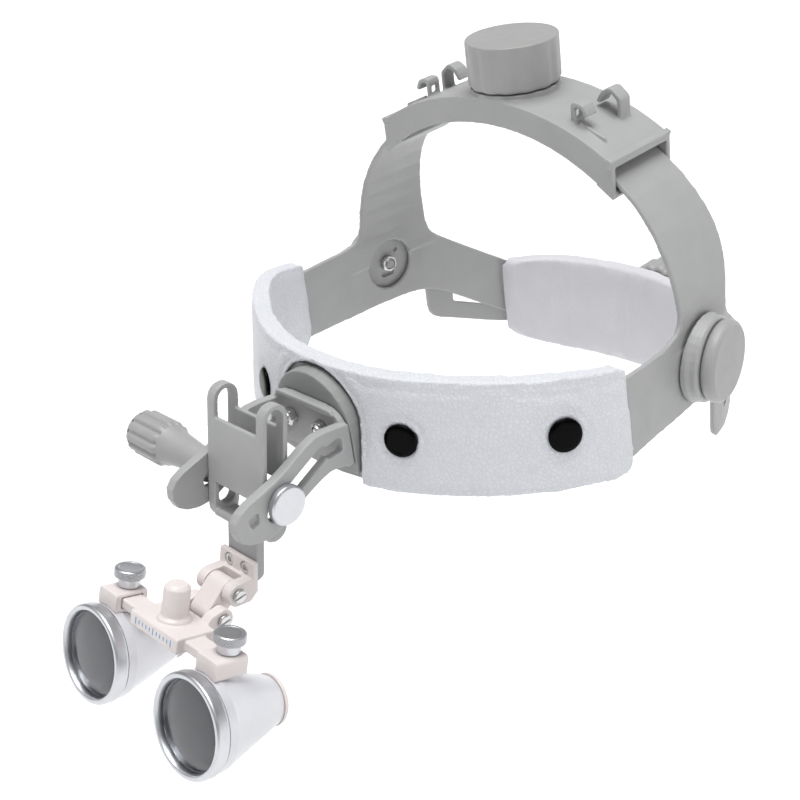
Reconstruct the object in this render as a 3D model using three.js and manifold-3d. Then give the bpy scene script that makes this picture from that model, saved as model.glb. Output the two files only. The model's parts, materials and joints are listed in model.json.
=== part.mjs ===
// Binocular loupes on an adjustable headband.
// Millimetres. +Z up along the crown dial's axis, -Y towards the objectives, +X to the wearer's left.
// The origin is the middle of the wearer's head, between the two side pivots.
import * as THREE from 'three';
import { mergeVertices } from 'three/addons/utils/BufferGeometryUtils.js';
import Module from 'manifold-3d';

const wasm = await Module();
wasm.setup();

// ---------------------------------------------------------------- driving dimensions

const GAP = 0.3;                    // clearance between pieces that touch
const DEG = Math.PI / 180;

// half of the headband's plan, as the middle of the band's thickness, front to rear
const RING_PLAN = [
  [0, -112.8], [18, -111.2], [35, -106.3], [58.5, -92.6], [77.3, -75.3], [82.6, -63],
  [84, -48], [83.4, -25], [81.3, 0], [78.3, 20], [74.6, 31], [69, 42],
  [62.5, 53], [51.5, 63.3], [36, 71], [18, 75.3], [0, 77],
];
const RING_STEPS = 54;
const BAND_HALF = 1.0;              // half thickness of the moulded band
const FLARE = 9.5 * DEG;            // lean of the brow section, lower edge outwards
const FLARE_Z = 5;                  // height at which the lean leaves the plan unchanged

const COVER = { outer: 3.1, inner: 4.2, top: 29, side: 21, bottom: -14, sideBottom: -19, end: -48.5 };
const SNAP = { r: 6, z: 5, capHeight: 1.6, postR: 1.8, sunk: 0.9 };
const NOTCH = { half: 21, spring: 5.5 };

const PIVOT = { x: 81.3, yaw: 10 * DEG };
const SIDE_KNOB = { r: 15.4, face: 12.25, bossR: 16.2, boss: 6.5, recessR: 11.3 };
const ARM_TOP = 14.5;               // front arm of the side frame
const ARM_BOTTOM = -16.5;
const STRAP = { front: -12.5, rear: 20.5 };

const CROWN = { half: 56.6, front: -13.7, rear: 20.5, wall: 2, plate: 2.2, y: 3.6 };
const CROWN_KNOB = { r: 17.4, bottom: 91.6, top: 108.7, lobes: 14 };

const REAR = { y: 77, z: -37, strapHalf: 12, slotHalf: 3.5, knobR: 18, knobIn: 87.2, knobOut: 101 };
const LAYER = { near: 1.45, far: 3.2 };   // the two rear straps run inside and outside the band's line
const PAD = { inner: 10.6, outer: 3.6, low: -60.5, high: -11.5, end: 49 };

const BOLT = { y: -148.9, z: -3.5, r: 2.6, cap: 7.2 };
const ARM = { inner: 15.7, outer: 19.5, slotHalf: 3.1, slope: 23.5 * DEG };

const CARRIAGE_PITCH = 13 * DEG;
const CARRIAGE = { inner: 11.2, outer: 15.2, half: 5.3, top: 33.7, bottom: -16.3, slotHalf: 3.4 };

const OPTICS_PITCH = 21.5 * DEG;
const OPTICS = { y: -209.7, z: -52.1, barrelX: 28.3 };
const RING = { r: 17.85, inner: 15.6, length: 5 };
const BARREL = { frontR: 17.2, rearR: 8.7, length: 35.3, wall: 1.6 };
const THUMB = { x: 28.6, y: 14.4 };
const LINK = { p1: [-167.9, -35.2], p2: [-175.9, -40.8], r: 4.2, pinR: 1.6 };

// ---------------------------------------------------------------- solids

// three.js geometry to a manifold solid
function solid(geometry) {
  const g = geometry.clone();
  g.deleteAttribute('normal');
  g.deleteAttribute('uv');
  const m = mergeVertices(g, 1e-4);
  const index = m.index.array;
  const mesh = new wasm.Mesh({
    numProp: 3,
    vertProperties: Float32Array.from(m.attributes.position.array),
    triVerts: Uint32Array.from(index),
  });
  return new wasm.Manifold(mesh);
}

// manifold solid back to three.js geometry
function surface(body) {
  const mesh = body.getMesh();
  const g = new THREE.BufferGeometry();
  g.setAttribute('position', new THREE.BufferAttribute(Float32Array.from(mesh.vertProperties), 3));
  g.setIndex(new THREE.BufferAttribute(Uint32Array.from(mesh.triVerts), 1));
  const flat = g.toNonIndexed();
  flat.computeVertexNormals();
  return flat;
}

function join(first, ...rest) {
  return surface(rest.reduce((a, b) => a.add(solid(b)), solid(first)));
}

function cut(first, ...rest) {
  return surface(rest.reduce((a, b) => a.subtract(solid(b)), solid(first)));
}

function common(first, ...rest) {
  return surface(rest.reduce((a, b) => a.intersect(solid(b)), solid(first)));
}

function outline(points) {
  return new THREE.Shape(points.map(([a, b]) => new THREE.Vector2(a, b)));
}

// outline with every corner rounded by the same radius
function rounded(points, radius, steps = 3) {
  const out = [];
  points.forEach((p, i) => {
    const a = points[(i + points.length - 1) % points.length];
    const b = points[(i + 1) % points.length];
    const r = p[2] ?? radius;
    const la = Math.hypot(a[0] - p[0], a[1] - p[1]);
    const lb = Math.hypot(b[0] - p[0], b[1] - p[1]);
    const ka = Math.min(r, la * 0.48) / la;
    const kb = Math.min(r, lb * 0.48) / lb;
    const s = [p[0] + (a[0] - p[0]) * ka, p[1] + (a[1] - p[1]) * ka];
    const e = [p[0] + (b[0] - p[0]) * kb, p[1] + (b[1] - p[1]) * kb];
    for (let k = 0; k <= steps; k += 1) {
      const t = k / steps;
      const u = 1 - t;
      out.push([
        u * u * s[0] + 2 * u * t * p[0] + t * t * e[0],
        u * u * s[1] + 2 * u * t * p[1] + t * t * e[1],
      ]);
    }
  });
  return outline(out);
}

function rectangle(a0, b0, a1, b1, radius = 0) {
  const corners = [[a0, b0], [a1, b0], [a1, b1], [a0, b1]];
  return radius > 0 ? rounded(corners, radius) : outline(corners);
}

// slot with round ends between two centres
function stadium(a0, b0, a1, b1, r, steps = 8) {
  const angle = Math.atan2(b1 - b0, a1 - a0);
  const points = [];
  for (let k = 0; k <= steps; k += 1) {
    const t = angle - Math.PI / 2 + (Math.PI * k) / steps;
    points.push([a1 + r * Math.cos(t), b1 + r * Math.sin(t)]);
  }
  for (let k = 0; k <= steps; k += 1) {
    const t = angle + Math.PI / 2 + (Math.PI * k) / steps;
    points.push([a0 + r * Math.cos(t), b0 + r * Math.sin(t)]);
  }
  return outline(points);
}

// outline (x, y) raised from z0 to z1
function alongZ(shape, z0, z1) {
  const g = new THREE.ExtrudeGeometry(shape, { depth: z1 - z0, bevelEnabled: false });
  return g.translate(0, 0, z0);
}

// outline (y, z) carried from x0 to x1
function alongX(shape, x0, x1) {
  const g = new THREE.ExtrudeGeometry(shape, { depth: x1 - x0, bevelEnabled: false });
  const m = new THREE.Matrix4().makeBasis(
    new THREE.Vector3(0, 1, 0), new THREE.Vector3(0, 0, 1), new THREE.Vector3(1, 0, 0),
  );
  return g.applyMatrix4(m).translate(x0, 0, 0);
}

// outline (x, z) carried from y0 to y1
function alongY(shape, y0, y1) {
  const g = new THREE.ExtrudeGeometry(shape, { depth: y1 - y0, bevelEnabled: false });
  return g.rotateX(Math.PI / 2).translate(0, y1, 0);
}

// turned piece: profile [radius, height] about +Z, first and last point on the axis
function turned(profile, segments = 24) {
  return new THREE.LatheGeometry(
    profile.map(([r, h]) => new THREE.Vector2(r, h)), segments,
  ).rotateX(Math.PI / 2);
}

function discZ(r, z0, z1, segments = 24) {
  return turned([[0, z0], [r, z0], [r, z1], [0, z1]], segments);
}

function rodX(r, x0, x1, y, z, segments = 20) {
  return discZ(r, x0, x1, segments).rotateY(Math.PI / 2).translate(0, y, z);
}

function rodY(r, y0, y1, x, z, segments = 16) {
  return discZ(r, -y1, -y0, segments).rotateX(Math.PI / 2).translate(x, 0, z);
}

function box(x0, x1, y0, y1, z0, z1) {
  const g = new THREE.BoxGeometry(x1 - x0, y1 - y0, z1 - z0);
  return g.translate((x0 + x1) / 2, (y0 + y1) / 2, (z0 + z1) / 2);
}

function mirrorX(geometry) {
  const m = geometry.clone().applyMatrix4(new THREE.Matrix4().makeScale(-1, 1, 1));
  const p = m.index ? m.toNonIndexed() : m;
  const a = p.attributes.position.array;
  for (let i = 0; i < a.length; i += 9) {
    for (let k = 0; k < 3; k += 1) {
      const t = a[i + 3 + k];
      a[i + 3 + k] = a[i + 6 + k];
      a[i + 6 + k] = t;
    }
  }
  p.computeVertexNormals();
  return p;
}

function reshape(geometry, place) {
  const p = geometry.attributes.position;
  for (let i = 0; i < p.count; i += 1) {
    const [x, y, z] = place(p.getX(i), p.getY(i), p.getZ(i));
    p.setXYZ(i, x, y, z);
  }
  return geometry;
}

// ---------------------------------------------------------------- the ring's plan

const planPoints = [
  ...RING_PLAN,
  ...RING_PLAN.slice(1, -1).reverse().map(([x, y]) => [-x, y]),
].map(([x, y]) => new THREE.Vector3(x, y, 0));
const planCurve = new THREE.CatmullRomCurve3(planPoints, true, 'centripetal');
const planRun = planCurve.getSpacedPoints(RING_STEPS).slice(0, -1);

function planNormal(i) {
  const n = planRun.length;
  const a = planRun[(i + n - 1) % n];
  const b = planRun[(i + 1) % n];
  const d = Math.hypot(b.x - a.x, b.y - a.y);
  return [(b.y - a.y) / d, -(b.x - a.x) / d];
}

// points of the plan moved outwards by an offset
function planLoop(offset) {
  return planRun.map((p, i) => {
    const [nx, ny] = planNormal(i);
    return [p.x + nx * offset, p.y + ny * offset];
  });
}

// wall that follows the ring, between two offsets and two heights
function ringWall(inner, outer, z0, z1) {
  const shape = outline(planLoop(outer));
  shape.holes.push(new THREE.Path(planLoop(inner).map(([x, y]) => new THREE.Vector2(x, y))));
  return alongZ(shape, z0, z1);
}

// half width of the ring's middle line at a given y on the wearer's left
function ringX(y) {
  for (let i = 0; i < planRun.length - 1; i += 1) {
    const a = planRun[i];
    const b = planRun[i + 1];
    if (a.x > 40 && b.x > 40 && a.y <= y && b.y >= y) {
      return a.x + ((b.x - a.x) * (y - a.y)) / (b.y - a.y);
    }
  }
  return y < 0 ? 70 : 66;
}

// the brow section leans: its lower edge stands further out than its upper edge
function leanShift(x, y, z) {
  const t = Math.min(1, Math.max(0, (-25 - y) / 55));
  const weight = t * t * (3 - 2 * t);
  const d = Math.hypot(x, y + 25) || 1;
  const out = -(z - FLARE_Z) * Math.tan(FLARE) * weight;
  return [(x / d) * out, ((y + 25) / d) * out];
}

function lean(geometry) {
  return reshape(geometry, (x, y, z) => {
    const [dx, dy] = leanShift(x, y, z);
    return [x + dx, y + dy, z];
  });
}

// point of the brow at a given x, with the direction the ring faces there
function browAt(x) {
  const i = planRun.findIndex((p, k) => {
    const q = planRun[(k + 1) % planRun.length];
    return p.y < -40 && (p.x - x) * (q.x - x) <= 0;
  });
  const [p, q] = [planRun[i], planRun[(i + 1) % planRun.length]];
  const t = (x - p.x) / (q.x - p.x);
  return { y: p.y + (q.y - p.y) * t, yaw: Math.atan2(q.y - p.y, q.x - p.x) };
}

// stand a piece whose axis is +Z on the brow at a given x, pointing outwards
function onBrow(geometry, x) {
  const { y, yaw } = browAt(x);
  const g = geometry.clone();
  g.rotateX(Math.PI / 2 - FLARE);
  g.rotateZ(yaw);
  return g.translate(x, y, SNAP.z);
}

// ---------------------------------------------------------------- brow: band, cover, snaps

const SNAPS = [
  ['snap_outer_left', 77.7],
  ['snap_inner_left', 35],
  ['snap_inner_right', -35],
  ['snap_outer_right', -77.7],
];

function snapHoles() {
  return SNAPS.map(([, x]) => onBrow(discZ(SNAP.postR + GAP, -1.25, 9, 12), x));
}

function snapSeats() {
  return SNAPS.map(([, x]) => onBrow(discZ(SNAP.r + 0.4, COVER.outer - SNAP.sunk, 9, 16), x));
}

function snapButton(x) {
  const base = COVER.outer - SNAP.sunk + GAP;
  const cap = SNAP.capHeight;
  const profile = [
    [0, -0.9], [SNAP.postR, -0.9], [SNAP.postR, base], [SNAP.r, base], [SNAP.r, base + cap * 0.45],
    [SNAP.r - 0.6, base + cap * 0.85], [SNAP.r - 1.8, base + cap], [0, base + cap * 1.1],
  ];
  return onBrow(turned(profile, 16), x);
}

function frontBand() {
  const wall = ringWall(-BAND_HALF, BAND_HALF, ARM_BOTTOM, 24);
  const side = rounded([[-130, -11.5], [-57.6, ARM_BOTTOM], [-57.6, ARM_TOP], [-90, 22], [-130, 24]], 4);
  const strip = lean(common(wall, alongX(side, -100, 100)));
  return cut(strip, ...snapHoles());
}

function browCover() {
  const side = rounded([
    [-135, COVER.bottom, 0.1], [-70, -14.5], [-58, COVER.sideBottom, 6], [COVER.end, COVER.sideBottom, 9],
    [COVER.end, COVER.side - 1, 2.5], [-70, 25], [-100, 27.2], [-135, COVER.top, 0.1],
  ], 8);
  const whole = common(ringWall(-COVER.inner, COVER.outer, -30, 36), alongX(side, -100, 100));
  const slotSide = rounded([
    [-140, -40, 0.1], [-30, -40, 0.1], [-30, ARM_TOP + 0.6, 0.1], [-70, 20.5], [-100, 24.4], [-140, 25.2, 0.1],
  ], 4);
  const slot = common(
    ringWall(-BAND_HALF - 0.6, BAND_HALF + 0.6, -40, 30), alongX(slotSide, -100, 100),
  );
  const arch = [[-NOTCH.half, -40], [NOTCH.half, -40]];
  for (let k = 0; k <= 14; k += 1) {
    const t = (Math.PI * k) / 14;
    arch.push([NOTCH.half * Math.cos(t), NOTCH.spring + (NOTCH.half - 0.6) * Math.sin(t)]);
  }
  const band = lean(ringWall(-30, 0, -60, 60));
  const notch = cut(alongY(outline(arch), -140, -100), band);
  return cut(lean(cut(whole, slot)), notch, ...snapHoles(), ...snapSeats());
}

// arched block on the brow, seen through the cover's notch
function mountBlock() {
  const half = NOTCH.half - 1.2;
  const arch = [[-half, -10.5], [half, -10.5]];
  for (let k = 0; k <= 14; k += 1) {
    const t = (Math.PI * k) / 14;
    arch.push([half * Math.cos(t), NOTCH.spring + (half - 0.8) * Math.sin(t)]);
  }
  const front = -116.2;
  const back = lean(ringWall(-30, BAND_HALF + GAP, -40, 40));
  const plate = cut(alongY(outline(arch), front, -100), back);
  const pockets = [-8, 8].map((x) => rodY(1.9, front - 1, front + 1.6, x, 6.5, 12));
  return cut(plate, ...pockets);
}

// ---------------------------------------------------------------- front bracket

const PLATE_Y = -116.5;
const PLATE_FRONT = -119;

function armOutline() {
  return rounded([
    [PLATE_Y, -6, 0.5], [PLATE_Y, 10.6, 0.5], [-131.5, 13.4, 5], [-150.8, 5.2, 6], [-163, 3.4, 6],
    [-169.8, -0.5, 6], [-169, -9.5, 6], [-160.5, -13.4, 5], [-152.5, -13.2, 5], [-139.5, -6.6, 4],
    [-127, -2.6, 4],
  ], 3, 2);
}

function armSlot() {
  const back = 21;
  const fore = 4.5;
  const c = Math.cos(ARM.slope);
  const s = Math.sin(ARM.slope);
  return stadium(
    BOLT.y + back * c, BOLT.z + back * s, BOLT.y - fore * c, BOLT.z - fore * s, ARM.slotHalf, 6,
  );
}

function armBracket() {
  const plate = alongY(rounded([
    [-19.5, -6, 1], [19.5, -6, 1], [19.5, 9, 4], [14.5, 15.4, 5], [-14.5, 15.4, 5], [-19.5, 9, 4],
  ], 2), PLATE_FRONT, PLATE_Y);
  const arm = alongX(armOutline(), ARM.inner, ARM.outer);
  const slot = alongX(armSlot(), ARM.inner - 1, ARM.outer + 1);
  const window = alongX(rounded([[-127.5, 1.6], [-120.5, 1.4], [-120.5, 7.6], [-127.5, 7]], 1.5), 10, 25);
  const recess = alongX(rounded([[-163.8, -2], [-159.2, -1.6], [-159.8, -6], [-163, -6.2]], 1), 18, 22);
  const left = cut(arm, slot, window, recess);
  const holes = [-8, 8].map((x) => rodY(1.9, PLATE_FRONT - 1, PLATE_Y + 1, x, 6.5, 16));
  const rib = alongY(rounded([
    [-15.5, 13.4], [15.5, 13.4], [14.2, 15.4], [-14.2, 15.4],
  ], 0.8), PLATE_FRONT - 1, PLATE_FRONT + 0.5);
  return cut(join(plate, rib, left, mirrorX(left)), ...holes);
}

function bracketStud(x) {
  const g = turned([[0, 114.9], [1.6, 114.9], [1.6, 122], [1.2, 122.5], [0, 122.5]], 16);
  return g.rotateX(Math.PI / 2).translate(x, 0, 6.5);
}

function hexNut(across, height, bore) {
  const r = across / Math.sqrt(3);
  const hex = [];
  for (let k = 0; k < 6; k += 1) {
    hex.push([r * Math.cos((k * Math.PI) / 3), r * Math.sin((k * Math.PI) / 3)]);
  }
  const base = height - 0.01;
  const top = height + 0.9;
  const collar = turned([[0, base], [across * 0.42, base], [across * 0.36, top], [0, top]], 16);
  return cut(join(alongZ(outline(hex), 0, height), collar), discZ(bore, -1, height + 3, 12));
}

function bracketNut(x) {
  return hexNut(5.8, 2.4, 1.9).rotateX(Math.PI / 2).translate(x, PLATE_FRONT - GAP, 6.5);
}

// ---------------------------------------------------------------- side frames and overhead straps

// front view of the overhead strap at the wearer's left, from the side plate to the crown
const strapCurve = new THREE.CatmullRomCurve3([
  [82, 0], [82.2, 12], [81.6, 22], [79.6, 32], [76, 42], [71, 51], [64.5, 59], [56.6, 65.9],
  [46, 73], [33, 79.3], [18, 84], [4, 86.2], [-12, 85.3], [-28, 81.2], [-40, 76],
].map(([x, z]) => new THREE.Vector3(x, 0, z)), false, 'centripetal');

// strip of the strap's thickness along that curve
function strapStrip(y0, y1) {
  const run = strapCurve.getSpacedPoints(24);
  const edge = (side) => run.map((p, i) => {
    const a = run[Math.max(0, i - 1)];
    const b = run[Math.min(run.length - 1, i + 1)];
    const d = Math.hypot(b.x - a.x, b.z - a.z);
    return [p.x + (side * BAND_HALF * (b.z - a.z)) / d, p.z - (side * BAND_HALF * (b.x - a.x)) / d];
  });
  return alongY(outline([...edge(1), ...edge(-1).reverse()]), y0, y1);
}

// the strap's foot takes the plan of the ring, its upper end is square to the crown
function twistFoot(geometry) {
  return reshape(geometry, (x, y, z) => {
    const t = Math.min(1, Math.max(0, (58 - z) / 50));
    const blend = x > 0 ? t * t * (3 - 2 * t) : 0;
    return [x + (ringX(y) - strapCurve.points[0].x) * blend, y, z];
  });
}

// front and rear arms that follow the ring
function sideArms() {
  const side = rounded([
    [-57.3, ARM_BOTTOM, 2], [-8, ARM_BOTTOM - 0.5, 14], [20, -18.6, 12], [58.5, -46.6, 4], [62, -21.3, 4],
    [28, 3.6, 14], [22, 9, 1], [-20, 9, 0.1], [-20, ARM_TOP, 0.1], [-57.3, ARM_TOP, 2],
  ], 3, 4);
  return lean(common(ringWall(-BAND_HALF, BAND_HALF, -60, 20), alongX(side, 30, 100)));
}

// overhead strap with its narrow tongue inside the crown housing
function overheadStrap(tongue) {
  const { front, rear } = STRAP;
  const side = rounded([
    [-26, 3, 0.1], [29.6, 2.4, 0.1], [rear + 1.5, 8.4, 13], [rear + 1.2, 24, 8],
    [rear + 0.4, 40, 12], [18, 60, 14],
    [18, 95, 0.1], [-11.3, 95, 0.1], [-11.2, 60, 14], [front, 38, 14], [front, ARM_TOP + 2, 9],
    [-26, ARM_TOP, 0.1],
  ], 3, 4);
  const strap = common(strapStrip(-30, 30), alongX(side, -60, 100));
  const [from, to] = tongue === 'front' ? [-3, 30] : [-30, 10.2];
  return twistFoot(cut(strap, box(-60, 46, from, to, 50, 100)));
}

function sideFrame(tongue) {
  const recess = atPivot(discZ(SIDE_KNOB.recessR, -9, 3, 20));
  return cut(join(sideArms(), overheadStrap(tongue)), recess);
}

function atPivot(geometry) {
  const g = geometry.clone();
  return g.rotateY(Math.PI / 2).rotateZ(PIVOT.yaw).translate(PIVOT.x, 0, 0);
}

function pivotBoss() {
  const r = SIDE_KNOB.bossR;
  const body = turned([
    [0, -0.5], [r + 0.8, -0.5], [r + 0.7, BAND_HALF + 1.2], [r, BAND_HALF + 2.6],
    [r, SIDE_KNOB.boss - 1], [r - 1, SIDE_KNOB.boss], [0, SIDE_KNOB.boss],
  ], 32);
  const slot = alongZ(stadium(5.4, -2.4, 5.4, 2.4, 1.1, 4), 0, 3);
  const pin = discZ(1.1, 0, 3, 10).translate(-4.5, 5.6, 0);
  const shaped = atPivot(cut(body, discZ(2.3, -1, 12, 16), slot, pin));
  return cut(shaped, ringWall(-30, BAND_HALF + 0.6, -40, 40));
}

function sideKnob() {
  const { r, face, boss } = SIDE_KNOB;
  const base = boss + GAP;
  const profile = [
    [0, -1.9], [2, -1.9], [2, base], [r - 1.2, base], [r, base + 1.2], [r, face - 1.5],
    [r - 0.5, face - 0.5], [r - 1.7, face], [0, face],
  ];
  return atPivot(turned(profile, 28));
}

function sideNut() {
  return atPivot(hexNut(6.4, 2.0, 2.3).rotateX(Math.PI).translate(0, 0, BAND_HALF - GAP * 0.4));
}

// ---------------------------------------------------------------- crown

// front view of the crown housing's upper surface
const crownTop = new THREE.CatmullRomCurve3([
  [CROWN.half, 74.2], [46.5, 79.7], [36, 84.1], [25, 87.3], [12, 89.4], [0, 90],
  [-12, 89.4], [-25, 87.3], [-36, 84.1], [-46.5, 79.7], [-CROWN.half, 74.2],
].map(([x, z]) => new THREE.Vector3(x, 0, z)), false, 'centripetal');

function crownBand(over, under) {
  const run = crownTop.getSpacedPoints(16);
  const up = run.map((p) => [p.x, p.z + over]);
  const low = run.map((p, i) => [p.x, p.z - under(Math.abs(p.x) / CROWN.half, i)]).reverse();
  return outline([...up, ...low]);
}

// finger that stands on the housing and curls over, drawn for the wearer's left side
const FRONT_HOOK = [
  [34.5, 82], [34.5, 91.6, 2], [40.4, 91, 2.2], [41.9, 86.8, 0.3], [40.3, 86.5, 0.3], [39.4, 89.2, 1.2],
  [36.2, 89.8, 1], [36.2, 82],
];
const REAR_HOOK = [
  [44, 79], [44, 88.6, 1], [39.6, 92.4, 1.5], [35.4, 90.8, 2.4], [33.2, 86.6, 0.3], [34.8, 86, 0.3],
  [36.6, 89, 1.4], [39.4, 90.4, 1], [42.3, 87.8, 1], [42.3, 79],
];

function crownHooks() {
  const front = cut(
    alongY(rounded(FRONT_HOOK, 0.2, 2), -7.4, -1.6), box(30, 38, -6, -3, 85.6, 88.4),
  );
  const rear = alongY(rounded(REAR_HOOK, 0.2, 2), 8.9, 14.9);
  const rib = alongY(outline([[38, 82], [38, 84.4], [48.8, 80], [48.8, 77]]), -6.9, -5.6);
  return [front, rear, rib].flatMap((g) => [g, mirrorX(g)]);
}

function crownHousing() {
  const { front, rear, wall, half } = CROWN;
  const flange = (t) => 9.6 + 3.3 * t * t;
  const skin = alongY(crownBand(0, () => CROWN.plate), front + 0.2, rear - 0.2);
  const frontWall = alongY(crownBand(0, flange), front, front + wall);
  const rearWall = alongY(crownBand(0, flange), rear - wall, rear);
  const lip = box(-1.2, 1.2, front - 0.7, rear + 0.7, -1.9, 1).rotateY(28 * DEG);
  lip.translate(half - 1.2, 0, 74.6);
  const sill = alongY(outline([[49.4, 65.4], [56.2, 60.9], [57.3, 62.6], [50.4, 67.2]]), front, rear);
  const ends = [lip, sill, mirrorX(lip), mirrorX(sill)];
  const collar = discZ(16.8, 86, 91.2, 32).translate(0, CROWN.y, 0);
  const hollow = alongY(crownBand(-CROWN.plate, () => 30), front + wall, rear - wall);
  const bore = discZ(3.4, 60, 100, 16).translate(0, CROWN.y, 0);
  const body = cut(join(skin, collar), hollow, bore);
  return join(body, frontWall, rearWall, ...ends, ...crownHooks());
}

function lobed(r, lobes, depth) {
  const points = [];
  for (let k = 0; k < lobes; k += 1) {
    const a = (2 * Math.PI * k) / lobes;
    const w = Math.PI / lobes;
    points.push([r * Math.cos(a - 0.62 * w), r * Math.sin(a - 0.62 * w)]);
    points.push([r * Math.cos(a + 0.62 * w), r * Math.sin(a + 0.62 * w)]);
    points.push([(r - depth) * Math.cos(a + w), (r - depth) * Math.sin(a + w)]);
  }
  return outline(points);
}

function crownKnob() {
  const { r, bottom, top, lobes } = CROWN_KNOB;
  const body = new THREE.ExtrudeGeometry(lobed(r - 0.8, lobes, 0.4), {
    depth: top - bottom - 2.4, bevelEnabled: true, bevelThickness: 1.2, bevelSize: 0.8, bevelSegments: 1,
  }).translate(0, 0, bottom + 1.2);
  const stem = discZ(3.0, 83.5, bottom + 2, 16);
  return join(body, stem).translate(0, CROWN.y, 0);
}

function pinion(rRoot, rTip, teeth, height, bore) {
  const points = [];
  for (let k = 0; k < teeth; k += 1) {
    const a = (2 * Math.PI * k) / teeth;
    const w = Math.PI / teeth;
    points.push([rRoot * Math.cos(a - 0.7 * w), rRoot * Math.sin(a - 0.7 * w)]);
    points.push([rTip * Math.cos(a - 0.3 * w), rTip * Math.sin(a - 0.3 * w)]);
    points.push([rTip * Math.cos(a + 0.3 * w), rTip * Math.sin(a + 0.3 * w)]);
    points.push([rRoot * Math.cos(a + 0.7 * w), rRoot * Math.sin(a + 0.7 * w)]);
  }
  const shape = outline(points);
  const hole = [];
  for (let k = 0; k < 16; k += 1) {
    hole.push(new THREE.Vector2(bore * Math.cos((k * Math.PI) / 8), -bore * Math.sin((k * Math.PI) / 8)));
  }
  shape.holes.push(new THREE.Path(hole));
  return alongZ(shape, 0, height);
}

function crownPinion() {
  return pinion(4.4, 5.6, 10, 3, 3.3).translate(0, CROWN.y, 84.2);
}

// ---------------------------------------------------------------- rear straps, housing, dial and pad

// side view of a rear strap's tail: level behind the head, rising towards the pivot
// end is [y, z] of the middle of its front end, knee is where it levels off
function tailSide(half, end, knee, reach) {
  const slope = Math.atan2(end[1] - REAR.z, knee - end[0]);
  const rise = half / Math.cos(slope);
  const y = end[0] + reach;
  const z = end[1] - reach * Math.tan(slope);
  return rounded([
    [110, REAR.z - half, 0.2], [knee, REAR.z - half, 9], [y, z - rise, half * 0.45],
    [y, z + rise, half * 0.45], [knee, REAR.z + half, 9], [110, REAR.z + half, 0.2],
  ], 4, 3);
}

// strap rooted on one side frame, its slotted tail running past the dial to the other side
function rearStrap(side, inner, outer, end, knee) {
  const wall = ringWall(inner, outer, -90, 10);
  const reachX = (shape) => alongX(shape, side > 0 ? 0 : -100, side > 0 ? 100 : 0);
  const tail = common(wall, reachX(tailSide(REAR.strapHalf, end, knee, 0)));
  const tailSlot = reachX(tailSide(REAR.slotHalf, end, knee, 12));
  const root = common(wall, box(
    side > 0 ? -54 : -0.01, side > 0 ? 0.01 : 54, 55, 110, REAR.z - REAR.strapHalf, REAR.z + REAR.strapHalf,
  ));
  const rootSlot = box(-34, 34, 60, 110, REAR.z - REAR.slotHalf, REAR.z + REAR.slotHalf);
  return cut(join(tail, root), tailSlot, rootSlot);
}

function rearHousing() {
  const shape = rounded([
    [-27, REAR.z - 15, 6], [27, REAR.z - 15, 6], [27, REAR.z + 15, 6], [-27, REAR.z + 15, 6],
  ], 6, 3);
  const shell = common(ringWall(-5.2, 9.6, -80, -10), alongY(shape, 50, 110));
  const layers = LAYER.far + 0.35;
  const passage = common(
    ringWall(-layers, layers, -80, -10), box(-40, 40, 50, 110, REAR.z - 12.5, REAR.z + 12.5),
  );
  return cut(shell, passage, rodY(2.5, 60, 110, 0, REAR.z), rodY(4, 67, REAR.y + 5.5, 0, REAR.z));
}

function rearKnob() {
  const body = new THREE.ExtrudeGeometry(lobed(REAR.knobR - 0.8, 18, 0.6), {
    depth: REAR.knobOut - REAR.knobIn - 2.4, bevelEnabled: true, bevelThickness: 1.2, bevelSize: 0.8,
    bevelSegments: 1,
  }).translate(0, 0, -REAR.knobOut + 1.2);
  const stem = discZ(2.2, -REAR.knobIn - 2, -73.4, 16);
  return join(body, stem).rotateX(Math.PI / 2).translate(0, 0, REAR.z);
}

function rearPinion() {
  return pinion(2.8, 3.2, 8, 5.4, 2.5).rotateX(Math.PI / 2).translate(0, REAR.y + 2.9, REAR.z);
}

function rearPad() {
  const { low, high, end } = PAD;
  const side = rounded([
    [end, low + 9, 4], [end + 15, low + 0.5, 12], [120, low, 1],
    [120, high, 1], [end + 11, high, 6], [end, high - 1.5, 4],
  ], 5);
  const pad = common(ringWall(-PAD.inner, -PAD.outer, -90, 10), alongX(side, -100, 100));
  const relief = common(
    ringWall(-5.6, 0, -90, 10), box(-27.6, 27.6, 50, 110, REAR.z - 15.4, REAR.z + 15.4),
  );
  return cut(pad, relief);
}

// ---------------------------------------------------------------- carriage on the cross bolt
// Local frame: origin on the bolt, -Y forwards along the optics' line, +Z up the carriage.

function carriage() {
  const { inner, outer, half, top, bottom, slotHalf } = CARRIAGE;
  const plateShape = stadium(0, bottom + half, 0, top - half, half, 8);
  plateShape.holes.push(new THREE.Path(
    stadium(0, -8, 0, top - 2 - slotHalf, slotHalf, 6).getPoints().reverse(),
  ));
  const plate = alongX(plateShape, inner, outer);
  const frontWeb = box(-inner - 1, inner + 1, -half, -half + 1.8, -1.6, 22.4);
  const rearWeb = box(-inner - 1, inner + 1, half - 1.8, half, 5, 24);
  const bar = alongX(rounded([
    [-half, -11.6], [-half, -14.2], [-half + 2.5, -15.9], [half - 1, -15.9], [half - 1, -12.6],
    [-half + 2, -12.6], [-half + 1.8, -11.6],
  ], 0.6, 2), -inner - 1, inner + 1);
  const tongue = alongX(rounded([
    [-2.6, -34.2, 1], [-2.6, -14], [1.1, -14], [1.1, -32.4, 1],
  ], 0.4, 2), -8, 8);
  const bores = [-4.3, 4.3].map((x) => rodY(1.4, -4, 3, x, -28.8, 12));
  return cut(join(plate, mirrorX(plate), frontWeb, rearWeb, bar, tongue), ...bores);
}

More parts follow.
